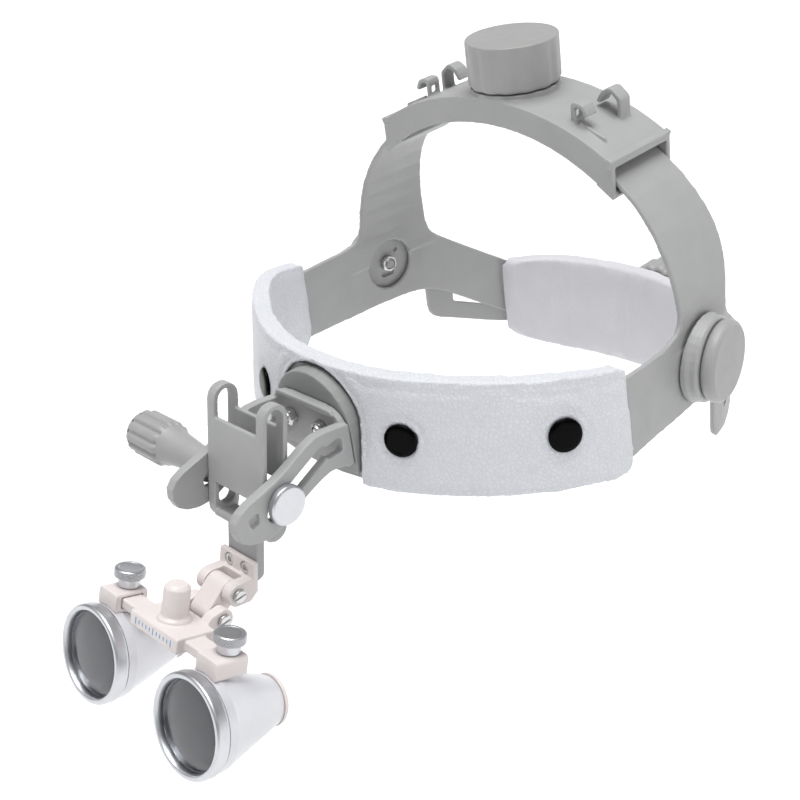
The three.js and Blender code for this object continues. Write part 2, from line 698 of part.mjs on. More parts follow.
function slotGuide() {
  const bar = box(-15, 15, -3.1, 3.1, -3.1, 3.1);
  return cut(bar, rodX(BOLT.r + GAP - 0.05, -20, 20, 0, 0));
}

function crossBolt() {
  return rodX(BOLT.r, -32, 21.4, 0, 0);
}

function boltCap() {
  const r = BOLT.cap;
  const profile = [[0, 19.8], [r - 0.4, 19.8], [r, 20.2], [r, 22.2], [r - 0.6, 22.8], [0, 22.8]];
  return cut(turned(profile, 28).rotateY(Math.PI / 2), rodX(BOLT.r + GAP, 10, 21.7, 0, 0));
}

function clampWasher() {
  const ring = discZ(6.2, -20.9, -19.8, 24);
  return cut(ring, discZ(BOLT.r + GAP, -30, 0, 20)).rotateY(Math.PI / 2);
}

function clampKnob() {
  const stem = turned([
    [0, 21.2], [4.9, 21.2], [5.4, 30], [6.6, 40], [7.6, 43.5], [8, 45.6], [8, 61.2], [7, 62.4], [0, 62.4],
  ], 20);
  const grip = alongZ(lobed(8.7, 12, 0.75), 45.4, 60.8);
  const body = cut(join(stem, grip), discZ(BOLT.r + GAP, 10, 32.4, 20));
  return body.rotateY(-Math.PI / 2);
}

// ---------------------------------------------------------------- two-pivot hinge

function hingeBlock() {
  const [py, pz] = [-11.4, -35.2];
  const ear = [[-2.9, -25.5], [-5.0, -25.5], [-5.4, -31.0]];
  for (let k = 0; k <= 10; k += 1) {
    const t = Math.PI / 2 + (Math.PI * k) / 10;
    ear.push([py + LINK.r * Math.cos(t), pz + LINK.r * Math.sin(t)]);
  }
  ear.push([-6, -39.4], [-2.9, -36.5]);
  const body = alongX(outline(ear), -9.3, 9.3);
  const throat = box(-5, 5, -30, -6.4, -60, -20);
  const bores = [-4.3, 4.3].flatMap((x) => [
    rodY(1.4, -8, 0, x, -28.8, 10), rodY(2.4, -9, -3.7, x, -28.8, 12),
  ]);
  return cut(body, throat, rodX(LINK.pinR + GAP, -20, 20, py, pz, 16), ...bores);
}

function hingeScrew(x) {
  const profile = [[0, -0.8], [1.1, -0.8], [1.1, 4.0], [2.1, 4.0], [2.1, 4.8], [0, 4.8]];
  const socket = alongZ(rectangle(-0.9, -0.9, 0.9, 0.9), 4.2, 6);
  return cut(turned(profile, 16), socket).rotateX(Math.PI / 2).translate(x, 0, -28.8);
}

// link between the two pivots, in the part's own frame
function hingeLink() {
  const [[y1, z1], [y2, z2]] = [LINK.p1, LINK.p2];
  const slab = alongX(stadium(y1, z1, y2, z2, LINK.r - 0.2, 10), -4.7, 4.7);
  return cut(slab, rodX(LINK.pinR + GAP, -9, 9, y1, z1, 16), rodX(LINK.pinR + GAP, -9, 9, y2, z2, 16));
}

function pivotPin([y, z]) {
  const profile = [[0, -9], [LINK.pinR, -9], [LINK.pinR, 9.6], [2.5, 9.6], [2.5, 10.3], [2.1, 10.7], [0, 10.7]];
  const slot = box(-0.35, 0.35, -3, 3, 10.2, 12);
  return cut(turned(profile, 20), slot).rotateY(Math.PI / 2).translate(0, y, z);
}

// ---------------------------------------------------------------- bridge and barrels
// Local frame: origin midway between the objectives' front faces, -Y along the view.

function bridge() {
  const body = alongX(rounded([
    [5.2, 17.2, 0.8], [21, 17.2, 1], [21, 22.8, 0.6], [5.2, 22.8, 0.8],
  ], 0.8, 2), -13.4, 13.4);
  const rail = alongX(rounded([[8.6, 17.9], [16.8, 17.9], [16.8, 21.6], [8.6, 21.6]], 0.5, 2), -32.4, 32.4);
  const lugShape = [];
  for (let k = 0; k <= 10; k += 1) {
    const t = -Math.PI / 2 + (Math.PI * k) / 10;
    lugShape.push([27.3 + LINK.r * Math.cos(t), 22.9 + LINK.r * Math.sin(t)]);
  }
  lugShape.push([22.5, 25.4], [20, 22.6], [20, 17.4], [23, 17.4]);
  const lugs = [-1, 1].map((s) => alongX(outline(lugShape), s > 0 ? 5 : -9.3, s > 0 ? 9.3 : -5));
  const saddle = alongX(rounded([[19, 17.4], [22.4, 17.4], [22.4, 22.8], [19, 22.8]], 0.5, 2), -9.3, 9.3);
  const post = turned([
    [0, 22], [5.9, 22], [5.9, 23.6], [5.2, 24.3], [4.7, 24.6], [4.6, 34.6], [3.4, 36], [0, 36],
  ], 24).translate(0, 13.6, 0);
  const pin = rodX(LINK.pinR + GAP, -20, 20, 27.3, 22.9, 16);
  const throat = box(-5, 5, 22.6, 40, 10, 40);
  return cut(join(body, rail, saddle, post, ...lugs), throat, pin);
}

function pdBlock() {
  const shape = rounded([
    [23.2, 15.9, 0.5], [33.8, 16.6, 0.5], [33.8, 23.3, 1.4], [23.2, 23.3, 1.4],
  ], 1, 3);
  const body = alongY(shape, 5.8, 18.9);
  const pocket = box(20, 32.7, 8.3, 17.1, 17.6, 21.9);
  const screw = discZ(1.9, 19, 30, 16).translate(THUMB.x, THUMB.y, 0);
  const seat = barrelOuter(GAP).translate(OPTICS.barrelX, 0, 0);
  return cut(body, pocket, screw, seat);
}

function thumbScrew() {
  const head = turned([
    [0, 22.4], [1.6, 22.4], [1.6, 23.6], [4, 23.6], [4, 27], [5.5, 27.4], [5.5, 29.8], [4.9, 30.4], [0, 30.4],
  ], 24);
  return head.translate(THUMB.x, THUMB.y, 0);
}

function barrelOuter(grow) {
  const { frontR, rearR, length } = BARREL;
  const start = RING.length + 0.3 - grow;
  const end = length - 0.8 + grow;
  const profile = [
    [0, start], [frontR + grow, start], [frontR - 0.2 + grow, 9 - grow],
    [rearR + 1.2 + grow, length - 4], [rearR + grow, end], [0, end],
  ];
  return turned(profile, 28).rotateX(-Math.PI / 2);
}

function barrel() {
  const { frontR, rearR, length, wall } = BARREL;
  const bore = turned([
    [0, 2], [frontR - 0.2 - wall, 2], [frontR - 0.2 - wall, 9], [rearR + 0.6 - wall, length - 5],
    [rearR - wall, length - 3.7], [rearR - wall, 60], [0, 60],
  ], 24).rotateX(-Math.PI / 2);
  return cut(barrelOuter(0), bore).translate(OPTICS.barrelX, 0, 0);
}

// turned piece of an optic on the left barrel's axis, heights measured back from the front face
function ringOfOptics(profile, segments) {
  const points = profile.map(([r, h]) => new THREE.Vector2(r, h));
  return new THREE.LatheGeometry(points, segments).translate(OPTICS.barrelX, 0, 0);
}

function objectiveRing() {
  const { r, inner, length } = RING;
  const profile = [
    [inner, 0.5], [inner + 0.4, 0], [r - 0.6, 0], [r, 0.6], [r, 4.4], [r - 0.6, length],
    [inner - 0.6, length], [inner - 0.6, 4.2], [inner, 4.2], [inner, 0.5],
  ];
  return ringOfOptics(profile, 28);
}

function objectiveLens() {
  const r = RING.inner - GAP;
  const profile = [[0, 1.1], [r * 0.4, 1.25], [r * 0.75, 1.65], [r, 2.4], [r, 3.9], [0, 3.9]];
  return ringOfOptics(profile, 24);
}

function eyepieceRing() {
  const l = BARREL.length;
  const r = BARREL.rearR + 0.5;
  const bore = BARREL.rearR - BARREL.wall - 0.9;
  const profile = [
    [bore, l - 0.5], [r, l - 0.5], [r, l + 0.6], [r - 0.8, l + 1.3], [bore + 0.6, l + 1.3],
    [bore, l + 0.7], [bore, l - 0.5],
  ];
  return ringOfOptics(profile, 24);
}

function eyepieceLens() {
  const l = BARREL.length;
  const r = BARREL.rearR - BARREL.wall - GAP;
  return ringOfOptics([[0, l - 2.6], [r, l - 3.4], [r, l - 0.9], [0, l - 1.4]], 20);
}

// ---------------------------------------------------------------- colours

const GREY = [0xa7a8a3, 0.55, 0.0];
const GREY_DARK = [0x8d8e8a, 0.55, 0.0];
const CREAM = [0xe9e1dd, 0.4, 0.0];
const LEATHER = [0xe6e7e9, 0.6, 0.0];
const BLACK = [0x0b0b0c, 0.15, 0.1];
const SILVER = [0xc9cacb, 0.3, 1.0];
const STEEL = [0xb8b9ba, 0.25, 1.0];
const WHITE = [0xdedfe3, 0.35, 0.1];
const GLASS = [0x3a3b40, 0.03, 0.0];

function add(parent, name, geometry, [color, roughness, metalness]) {
  const mesh = new THREE.Mesh(geometry, new THREE.MeshStandardMaterial({ color, roughness, metalness }));
  mesh.name = name;
  parent.add(mesh);
  return mesh;
}

// ---------------------------------------------------------------- assembly

const loupes = new THREE.Group();

add(loupes, 'front_band', frontBand(), GREY);
add(loupes, 'brow_cover', browCover(), LEATHER);
for (const [name, x] of SNAPS) add(loupes, name, snapButton(x), BLACK);
add(loupes, 'mount_block', mountBlock(), GREY_DARK);
add(loupes, 'arm_bracket', armBracket(), GREY);
for (const [name, x] of [['left', 8], ['right', -8]]) {
  add(loupes, `bracket_stud_${name}`, bracketStud(x), STEEL);
  add(loupes, `bracket_nut_${name}`, bracketNut(x), STEEL);
}

add(loupes, 'side_frame_left', sideFrame('front'), GREY);
add(loupes, 'side_frame_right', mirrorX(sideFrame('rear')), GREY);
const pairs = [
  ['pivot_boss', pivotBoss(), GREY],
  ['side_knob', sideKnob(), GREY],
  ['side_nut', sideNut(), STEEL],
];
for (const [name, geometry, look] of pairs) {
  add(loupes, `${name}_left`, geometry, look);
  add(loupes, `${name}_right`, mirrorX(geometry), look);
}

add(loupes, 'crown_housing', crownHousing(), GREY);
add(loupes, 'crown_knob', crownKnob(), GREY);
add(loupes, 'crown_pinion', crownPinion(), GREY_DARK);

add(loupes, 'rear_strap_left', rearStrap(-1, LAYER.near, LAYER.far, [20, -22.4], 54), GREY);
add(loupes, 'rear_strap_right', rearStrap(1, -LAYER.far, -LAYER.near, [15, -33.2], 54), GREY);
add(loupes, 'rear_housing', rearHousing(), GREY);
add(loupes, 'rear_knob', rearKnob(), GREY);
add(loupes, 'rear_pinion', rearPinion(), GREY_DARK);
add(loupes, 'rear_pad', rearPad(), LEATHER);

const boltGroup = new THREE.Group();
boltGroup.position.set(0, BOLT.y, BOLT.z);
loupes.add(boltGroup);
add(boltGroup, 'cross_bolt', crossBolt(), STEEL);
add(boltGroup, 'bolt_cap', boltCap(), SILVER);
add(boltGroup, 'clamp_washer', clampWasher(), STEEL);
add(boltGroup, 'clamp_knob', clampKnob(), GREY);

const carriageGroup = new THREE.Group();
carriageGroup.position.set(0, BOLT.y, BOLT.z);
carriageGroup.rotation.x = -CARRIAGE_PITCH;
loupes.add(carriageGroup);
add(carriageGroup, 'carriage', carriage(), GREY);
add(carriageGroup, 'slot_guide', slotGuide(), GREY_DARK);
add(carriageGroup, 'hinge_block', hingeBlock(), CREAM);
add(carriageGroup, 'hinge_screw_left', hingeScrew(4.3), STEEL);
add(carriageGroup, 'hinge_screw_right', hingeScrew(-4.3), STEEL);

add(loupes, 'hinge_link', hingeLink(), CREAM);
add(loupes, 'pivot_pin_upper', pivotPin(LINK.p1), STEEL);
add(loupes, 'pivot_pin_lower', pivotPin(LINK.p2), STEEL);

const opticsGroup = new THREE.Group();
opticsGroup.position.set(0, OPTICS.y, OPTICS.z);
opticsGroup.rotation.x = -OPTICS_PITCH;
loupes.add(opticsGroup);
add(opticsGroup, 'bridge', bridge(), CREAM);
const sidePieces = [
  ['pd_block', pdBlock(), CREAM],
  ['thumb_screw', thumbScrew(), SILVER],
  ['barrel', barrel(), WHITE],
  ['objective_ring', objectiveRing(), SILVER],
  ['objective_lens', objectiveLens(), GLASS],
  ['eyepiece_ring', eyepieceRing(), CREAM],
  ['eyepiece_lens', eyepieceLens(), GLASS],
];
for (const [name, geometry, look] of sidePieces) {
  add(opticsGroup, `${name}_left`, geometry, look);
  add(opticsGroup, `${name}_right`, mirrorX(geometry), look);
}

export default loupes;
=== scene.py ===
"""Looks of the binocular loupes on their headband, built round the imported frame.

Metres in the CAD's frame: +Z up, -Y towards the objectives, +X to the wearer's left.
Profiles of turned pieces are (radius, height) in millimetres. A third number rounds that corner.
"""

import json
import math

import bmesh
import bpy
import numpy as np
from mathutils import Matrix, Vector, noise
from mathutils.bvhtree import BVHTree
from mathutils.kdtree import KDTree


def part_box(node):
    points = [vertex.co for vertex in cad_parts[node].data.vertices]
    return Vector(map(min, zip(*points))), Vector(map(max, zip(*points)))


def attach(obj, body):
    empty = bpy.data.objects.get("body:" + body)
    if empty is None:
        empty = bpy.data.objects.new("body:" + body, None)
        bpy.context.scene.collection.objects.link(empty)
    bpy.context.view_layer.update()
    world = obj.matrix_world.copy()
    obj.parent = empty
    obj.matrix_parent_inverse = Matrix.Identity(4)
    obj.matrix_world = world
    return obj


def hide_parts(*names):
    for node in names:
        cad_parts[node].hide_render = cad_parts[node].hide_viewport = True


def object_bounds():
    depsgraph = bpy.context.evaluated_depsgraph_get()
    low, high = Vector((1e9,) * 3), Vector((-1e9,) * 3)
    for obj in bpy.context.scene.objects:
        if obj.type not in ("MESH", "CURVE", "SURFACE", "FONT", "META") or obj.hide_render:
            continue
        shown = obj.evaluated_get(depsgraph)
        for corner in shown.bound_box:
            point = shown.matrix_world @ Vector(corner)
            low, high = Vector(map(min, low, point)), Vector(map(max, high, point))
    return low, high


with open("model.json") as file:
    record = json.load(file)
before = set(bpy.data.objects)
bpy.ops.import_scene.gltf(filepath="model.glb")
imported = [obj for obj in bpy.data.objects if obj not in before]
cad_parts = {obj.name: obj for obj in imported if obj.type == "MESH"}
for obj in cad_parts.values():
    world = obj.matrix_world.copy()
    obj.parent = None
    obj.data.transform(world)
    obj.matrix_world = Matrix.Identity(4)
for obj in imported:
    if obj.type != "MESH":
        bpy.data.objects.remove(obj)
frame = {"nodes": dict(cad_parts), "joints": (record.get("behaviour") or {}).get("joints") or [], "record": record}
CAD_BOX = [list(corner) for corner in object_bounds()]

MM = 0.001
UV_LENGTH = 0.05  # metres of profile in one unit of V
SAME_POINT = 0.00002  # vertices of a CAD solid closer than this are one
NODES = frame["nodes"]
JOINTS = {joint["name"]: joint for joint in frame["joints"]}
MOUNTS = {mount["name"]: mount for mount in frame["record"]["mounts"]}
BODY_OF = {n: body for body, nodes in frame["record"]["behaviour"]["bodies"].items() for n in nodes}

FORWARD = Vector(MOUNTS["filter_seat_left"]["axis"]).normalized()
OPTICS_UP = Vector(MOUNTS["light_post"]["axis"]).normalized()
SIDES = ("left", "right")
SNAPS = ("outer_left", "inner_left", "inner_right", "outer_right")

# ---------------------------------------------------------------- camera and light

CAMERA_PLACE = Vector((0.31543, -0.34689, 0.23263))
CAMERA_AZIMUTH = math.radians(49.26)
CAMERA_ELEVATION = math.radians(29.94)
CAMERA_ROLL = math.radians(-8.39)
CAMERA_LENS = 57.49

FLOOR_DROP = 0.35
FLOOR_REACH = 40
FLOOR_PAINT = (0.93, 0.93, 0.93)
SUN_PLACE = (0.1, 0.1, 2.2)
SUN_STRENGTH = 3.0
SUN_ANGLE = math.radians(40)
# (height, shade) on the world's sphere: at the horizon and overhead, then in the dark band between them
ROOM_SHADES = ((0.0, 1.0), (0.8, 0.57))
BAND_SHADES = ((0.12, 0.80), (0.26, 0.18))
BAND_BLUE = 1.03
SOFTBOXES = (  # name, place, what it is aimed at, its two sides, watts
    ("softbox_left", (-0.75, -0.95, 0.75), (0, -0.05, 0), (0.7, 0.5), 0.33),
    ("softbox_right", (0.95, -0.35, 0.35), (0.05, -0.08, 0), (0.25, 0.8), 0.2),
)


def make_camera():
    az, el, roll = CAMERA_AZIMUTH, CAMERA_ELEVATION, CAMERA_ROLL
    back = Vector((math.sin(az) * math.cos(el), -math.cos(az) * math.cos(el), math.sin(el)))
    right = Vector((math.cos(az), math.sin(az), 0))
    up = back.cross(right)
    across = right * math.cos(roll) + up * math.sin(roll)
    rise = up * math.cos(roll) - right * math.sin(roll)
    data = bpy.data.cameras.new("camera")
    data.lens = CAMERA_LENS
    data.sensor_width = 36
    data.clip_start = 0.01
    data.clip_end = 50
    camera = bpy.data.objects.new("camera", data)
    turn = Matrix((across, rise, back)).transposed().to_4x4()
    camera.matrix_world = Matrix.Translation(CAMERA_PLACE) @ turn
    bpy.context.scene.collection.objects.link(camera)
    bpy.context.scene.camera = camera


def aim(obj, target):
    direction = Vector(target) - obj.location
    obj.rotation_euler = direction.to_track_quat("-Z", "Y").to_euler()


def area_light(name, place, target, size, power):
    data = bpy.data.lights.new(name, "AREA")
    data.shape = "RECTANGLE"
    data.size, data.size_y = size
    data.energy = power
    lamp = bpy.data.objects.new(name, data)
    lamp.location = place
    aim(lamp, target)
    bpy.context.scene.collection.objects.link(lamp)


def make_world():
    """Soft white room with a dark band above the horizon, so that metal has something to show."""
    world = bpy.data.worlds.new("studio")
    bpy.context.scene.world = world
    world.use_nodes = True
    tree = world.node_tree
    sky = tree.nodes["Background"]
    place = tree.nodes.new("ShaderNodeTexCoord")
    split = tree.nodes.new("ShaderNodeSeparateXYZ")
    ramp = tree.nodes.new("ShaderNodeValToRGB")
    tree.links.new(place.outputs["Generated"], split.inputs[0])
    tree.links.new(split.outputs["Z"], ramp.inputs["Fac"])
    tree.links.new(ramp.outputs["Color"], sky.inputs["Color"])
    stops = ramp.color_ramp.elements
    for stop, (height, shade) in zip(stops, ROOM_SHADES):
        stop.position = height
        stop.color = (shade, shade, shade, 1)
    for height, shade in BAND_SHADES:
        stops.new(height).color = (shade, shade, shade * BAND_BLUE, 1)


def make_studio():
    make_world()
    sun = bpy.data.lights.new("soft_sun", "SUN")
    sun.energy = SUN_STRENGTH
    sun.angle = SUN_ANGLE
    lamp = bpy.data.objects.new("soft_sun", sun)
    lamp.location = SUN_PLACE
    aim(lamp, (0, 0, 0))
    bpy.context.scene.collection.objects.link(lamp)
    for name, place, target, size, power in SOFTBOXES:
        area_light(name, place, target, size, power)
    floor = bpy.data.meshes.new("floor")
    level = CAD_BOX[0][2] - FLOOR_DROP
    around = ((-1, -1), (1, -1), (1, 1), (-1, 1))
    corners = [(x * FLOOR_REACH, y * FLOOR_REACH, level) for x, y in around]
    floor.from_pydata(corners, [], [(0, 1, 2, 3)])
    board = bpy.data.objects.new("floor", floor)
    bpy.context.scene.collection.objects.link(board)
    paint = Finish("floor_paint", FLOOR_PAINT, 0.9)
    board.data.materials.append(paint.material)
    bpy.context.scene.view_settings.view_transform = "Standard"


# ---------------------------------------------------------------- finishes


class Finish:
    """A Principled material, with short calls that wire its procedural detail."""

    def __init__(self, name, color, roughness, metallic=0.0, **direct):
        self.material = bpy.data.materials.new(name)
        self.material.use_nodes = True
        self.tree = self.material.node_tree
        self.shader = self.tree.nodes["Principled BSDF"]
        self.shader.inputs["Base Color"].default_value = (*color, 1)
        self.shader.inputs["Roughness"].default_value = roughness
        self.shader.inputs["Metallic"].default_value = metallic
        for socket, value in direct.items():
            self.shader.inputs[socket.replace("_", " ")].default_value = value
        self.last_normal = None

    def node(self, kind, links=(), **values):
        made = self.tree.nodes.new(kind)
        for key, value in values.items():
            setattr(made, key, value)
        for socket, value in dict(links).items():
            if isinstance(value, bpy.types.NodeSocket):
                self.tree.links.new(value, made.inputs[socket])
            else:
                made.inputs[socket].default_value = value
        return made

    def place(self, scale=(1, 1, 1), source="Object"):
        start = self.node("ShaderNodeTexCoord").outputs[source]
        return self.node("ShaderNodeMapping", {"Vector": start, "Scale": scale}).outputs["Vector"]

    def noise(self, scale, detail=4.0, rough=0.55, stretch=(1, 1, 1), source="Object"):
        place = self.place(stretch, source)
        links = {"Vector": place, "Scale": scale, "Detail": detail, "Roughness": rough}
        return self.node("ShaderNodeTexNoise", links).outputs["Fac"]

    def spread(self, value, low, high, to_low=0.0, to_high=1.0):
        links = {"Value": value, "From Min": low, "From Max": high, "To Min": to_low, "To Max": to_high}
        return self.node("ShaderNodeMapRange", links).outputs["Result"]

    def math(self, kind, a, b=0.5):
        return self.node("ShaderNodeMath", {0: a, 1: b}, operation=kind).outputs[0]

    def blend(self, mask, below, above):
        """Colour that is below where the mask is 0 and above where it is 1."""
        made = self.node("ShaderNodeMix", data_type="RGBA")
        self.tree.links.new(mask, made.inputs[0])
        for socket, value in ((6, below), (7, above)):
            if isinstance(value, bpy.types.NodeSocket):
                self.tree.links.new(value, made.inputs[socket])
            else:
                made.inputs[socket].default_value = (*value, 1)
        return made.outputs[2]

    def edges(self, radius):
        """1 on edges and corners, where paleness from rubbing and a painted highlight are laid, 0 on faces."""
        soft = self.node("ShaderNodeBevel", {"Radius": radius}, samples=4).outputs["Normal"]
        plain = self.node("ShaderNodeNewGeometry").outputs["Normal"]
        dot = self.node("ShaderNodeVectorMath", {0: soft, 1: plain}, operation="DOT_PRODUCT")
        return self.spread(dot.outputs["Value"], 0.99, 0.80)

    def base(self, color):
        self.tree.links.new(color, self.shader.inputs["Base Color"])
        return self

    def rough(self, value):
        self.tree.links.new(value, self.shader.inputs["Roughness"])
        return self

    def bump(self, height, depth, strength=1.0):
        links = {"Height": height, "Distance": depth, "Strength": strength}
        if self.last_normal:
            links["Normal"] = self.last_normal
        self.last_normal = self.node("ShaderNodeBump", links).outputs["Normal"]
        self.tree.links.new(self.last_normal, self.shader.inputs["Normal"])
        return self


def scaled(color, k):
    return tuple(min(1.0, c * k) for c in color)


def plastic(name, color, roughness, grain=0.5, edge_wear_and_highlight=1.12):
    """Moulded plastic: fine spark-eroded grain, faint flow marks, paler edges, partly from rubbing and partly a
    painted highlight.
    """
    f = Finish(name, color, roughness, IOR=1.49)
    flow = f.spread(f.noise(70, 5), 0.3, 0.7)
    speck = f.spread(f.noise(2600, 2), 0.35, 0.65)
    tone = f.blend(flow, scaled(color, 0.955), scaled(color, 1.035))
    tone = f.blend(f.math("MULTIPLY", speck, 0.12), tone, scaled(color, 0.86))
    # Paler edges: partly worn by rubbing, partly a painted highlight where light catches the rounded edges.
    wear_and_highlight_mask = f.math("MULTIPLY", f.edges(0.0006), f.spread(f.noise(400, 3), 0.35, 0.6))
    f.base(f.blend(wear_and_highlight_mask, tone, scaled(color, edge_wear_and_highlight)))
    f.rough(f.spread(f.noise(220, 4), 0.25, 0.75, roughness - 0.07, roughness + 0.08))
    f.bump(f.noise(45, 2), 0.0002, 0.25)
    f.bump(f.noise(2200, 3), 0.00004, grain)
    return f.material


def leather(name, color, cell, depth, deep):
    """Coated leather: pebbles of a cell's size, creases darkened with painted shade as strongly as deep says,
    pores, a wander of tone.
    """
    f = Finish(name, color, 0.5, IOR=1.48, Sheen_Weight=0.08, Sheen_Roughness=0.4)
    start = f.place()
    drift = f.node("ShaderNodeTexNoise", {"Vector": start, "Scale": 420.0, "Detail": 2.0}).outputs["Color"]
    links = {0: drift, 1: (0.0011, 0.0011, 0.0011)}
    push = f.node("ShaderNodeVectorMath", links, operation="MULTIPLY").outputs[0]
    warped = f.node("ShaderNodeVectorMath", {0: start, 1: push}, operation="ADD").outputs[0]
    links = {"Vector": warped, "Scale": 1 / cell, "Randomness": 0.95}
    pebble = f.node("ShaderNodeTexVoronoi", links, feature="DISTANCE_TO_EDGE").outputs["Distance"]
    domed = f.math("POWER", f.spread(pebble, 0.0, 0.34), 0.55)
    links = {"Vector": warped, "Scale": 2.7 / cell}
    small = f.node("ShaderNodeTexVoronoi", links, feature="F1").outputs["Distance"]
    tone = f.blend(f.spread(f.noise(38, 4), 0.3, 0.7), scaled(color, 0.965), scaled(color, 1.03))
    # Painted shade: the creases between the pebbles are darkened in the colour, as strongly as deep says.
    painted_crease_shade = f.spread(domed, 0.0, 0.8, deep, 0.0)
    f.base(f.blend(painted_crease_shade, tone, scaled(color, 0.80)))
    f.rough(f.spread(f.noise(160, 4), 0.3, 0.7, 0.40, 0.56))
    f.bump(f.noise(85, 3), 0.0006, 0.30)
    f.bump(domed, depth, 0.85)
    f.bump(small, depth * 0.3, 0.4)
    return f.material


def turned_metal(name, color, roughness, line=0.35, grain=1500):
    """Lathe-cut aluminium or steel: fine rings that follow the profile, small dents of tone."""
    f = Finish(name, color, roughness, 1.0)
    rings = f.noise(grain, 2, 0.6, (0.002, 1, 0), "UV")
    f.base(f.blend(f.spread(rings, 0.3, 0.7), scaled(color, 0.92), scaled(color, 1.04)))
    f.rough(f.spread(f.noise(260, 4), 0.3, 0.7, roughness - 0.06, roughness + 0.09))
    f.bump(rings, 0.00002, line)
    f.bump(f.noise(900, 2), 0.00001, 0.3)
    return f.material


def knurled_metal(name, color, roughness, around, lean):
    """Crossed cuts of a diamond knurl, with painted shade in their valleys and a painted highlight on their
    crests: lean is the cuts per metre of height.
    """
    f = Finish(name, color, roughness, 1.0)
    split = f.node("ShaderNodeSeparateXYZ", {0: f.place(source="UV")})
    turn = f.math("MULTIPLY", split.outputs[0], around * math.pi)
    rise = f.math("MULTIPLY", split.outputs[1], lean * math.pi * UV_LENGTH)
    one = f.math("ABSOLUTE", f.math("SINE", f.math("ADD", turn, rise)))
    two = f.math("ABSOLUTE", f.math("SINE", f.math("SUBTRACT", turn, rise)))
    crest = f.math("MULTIPLY", one, two)
    # Painted shade in the valleys of the knurl and a painted highlight on its crests, laid in the colour.
    f.base(f.blend(f.spread(crest, 0.05, 0.6), scaled(color, 0.38), scaled(color, 1.1)))
    f.rough(f.spread(f.noise(500, 3), 0.3, 0.7, roughness - 0.05, roughness + 0.1))
    f.bump(crest, 0.00022, 0.9)
    return f.material


def milled_metal(name, color, roughness):
    """Small steel fasteners: tumbled surface with soft scratches."""
    f = Finish(name, color, roughness, 1.0)
    scratch = f.noise(900, 4, 0.7, (1, 0.25, 3))
    f.base(f.blend(f.spread(f.noise(500, 3), 0.3, 0.7), scaled(color, 0.85), scaled(color, 1.05)))
    f.rough(f.spread(scratch, 0.3, 0.7, roughness - 0.08, roughness + 0.12))
    f.bump(scratch, 0.00003, 0.4)
    return f.material


def gloss_black(name):
    """Enamelled snap caps: deep gloss with dust and hairline swirls."""
    color = (0.0004, 0.0004, 0.0006)
    f = Finish(name, color, 0.12, IOR=1.30, Specular_IOR_Level=0.15)
    dust = f.spread(f.noise(3200, 2), 0.66, 0.74)
    f.base(f.blend(dust, color, (0.02, 0.02, 0.021)))
    f.rough(f.spread(f.noise(700, 4), 0.3, 0.7, 0.08, 0.18))
    f.bump(f.noise(260, 2), 0.00005, 0.25)
    return f.material


def pearl(name, color):
    """Satin pearl paint on the barrels: tiny flakes under a soft coat."""
    f = Finish(name, color, 0.34, 0.28, Coat_Weight=0.25, Coat_Roughness=0.18)
    flake = f.spread(f.noise(5200, 1), 0.4, 0.6)
    cloud = f.spread(f.noise(60, 3), 0.3, 0.7)
    tone = f.blend(cloud, scaled(color, 0.97), scaled(color, 1.02))
    f.base(f.blend(f.math("MULTIPLY", flake, 0.30), tone, scaled(color, 1.12)))
    f.rough(f.spread(f.noise(300, 4), 0.3, 0.7, 0.28, 0.40))
    f.bump(f.noise(1800, 3), 0.00002, 0.35)
    return f.material


def black_paint(name):
    """Flat black inside the barrels, with fine anti-glare threads."""
    f = Finish(name, (0.018, 0.018, 0.02), 0.7)
    thread = f.noise(2600, 1, 0.5, (0.002, 1, 0), "UV")
    f.base(f.blend(f.spread(thread, 0.3, 0.7), (0.010, 0.010, 0.011), (0.035, 0.035, 0.038)))
    f.bump(thread, 0.00006, 0.6)
    return f.material


def lens_glass(name):
    """Coated lens glass with a trace of dust."""
    f = Finish(name, (0.74, 0.76, 0.84), 0.02, Transmission_Weight=1.0, IOR=1.52)
    dust = f.spread(f.noise(2400, 3), 0.62, 0.80, 0.012, 0.04)
    f.rough(dust)
    f.bump(f.noise(90, 1), 0.00001, 0.1)
    return f.material


def scale_ink(name):
    """Plain blue ink of the index marks."""
    color = (0.05, 0.28, 0.55)
    f = Finish(name, color, 0.45)
    f.base(f.blend(f.spread(f.noise(1800, 3), 0.3, 0.7), scaled(color, 0.85), scaled(color, 1.15)))
    f.bump(f.noise(2500, 2), 0.00002, 0.3)
    return f.material


GREY = (0.355, 0.357, 0.358)
KNOB_GREY = (0.330, 0.330, 0.327)
DARK_GREY = (0.270, 0.276, 0.272)
CREAM = (0.690, 0.635, 0.622)
PEARL = (0.625, 0.628, 0.660)
COVER_WHITE = (0.655, 0.668, 0.704)
PAD_WHITE = (0.590, 0.584, 0.616)
SILVER = (0.600, 0.612, 0.636)
STEEL = (0.640, 0.640, 0.640)

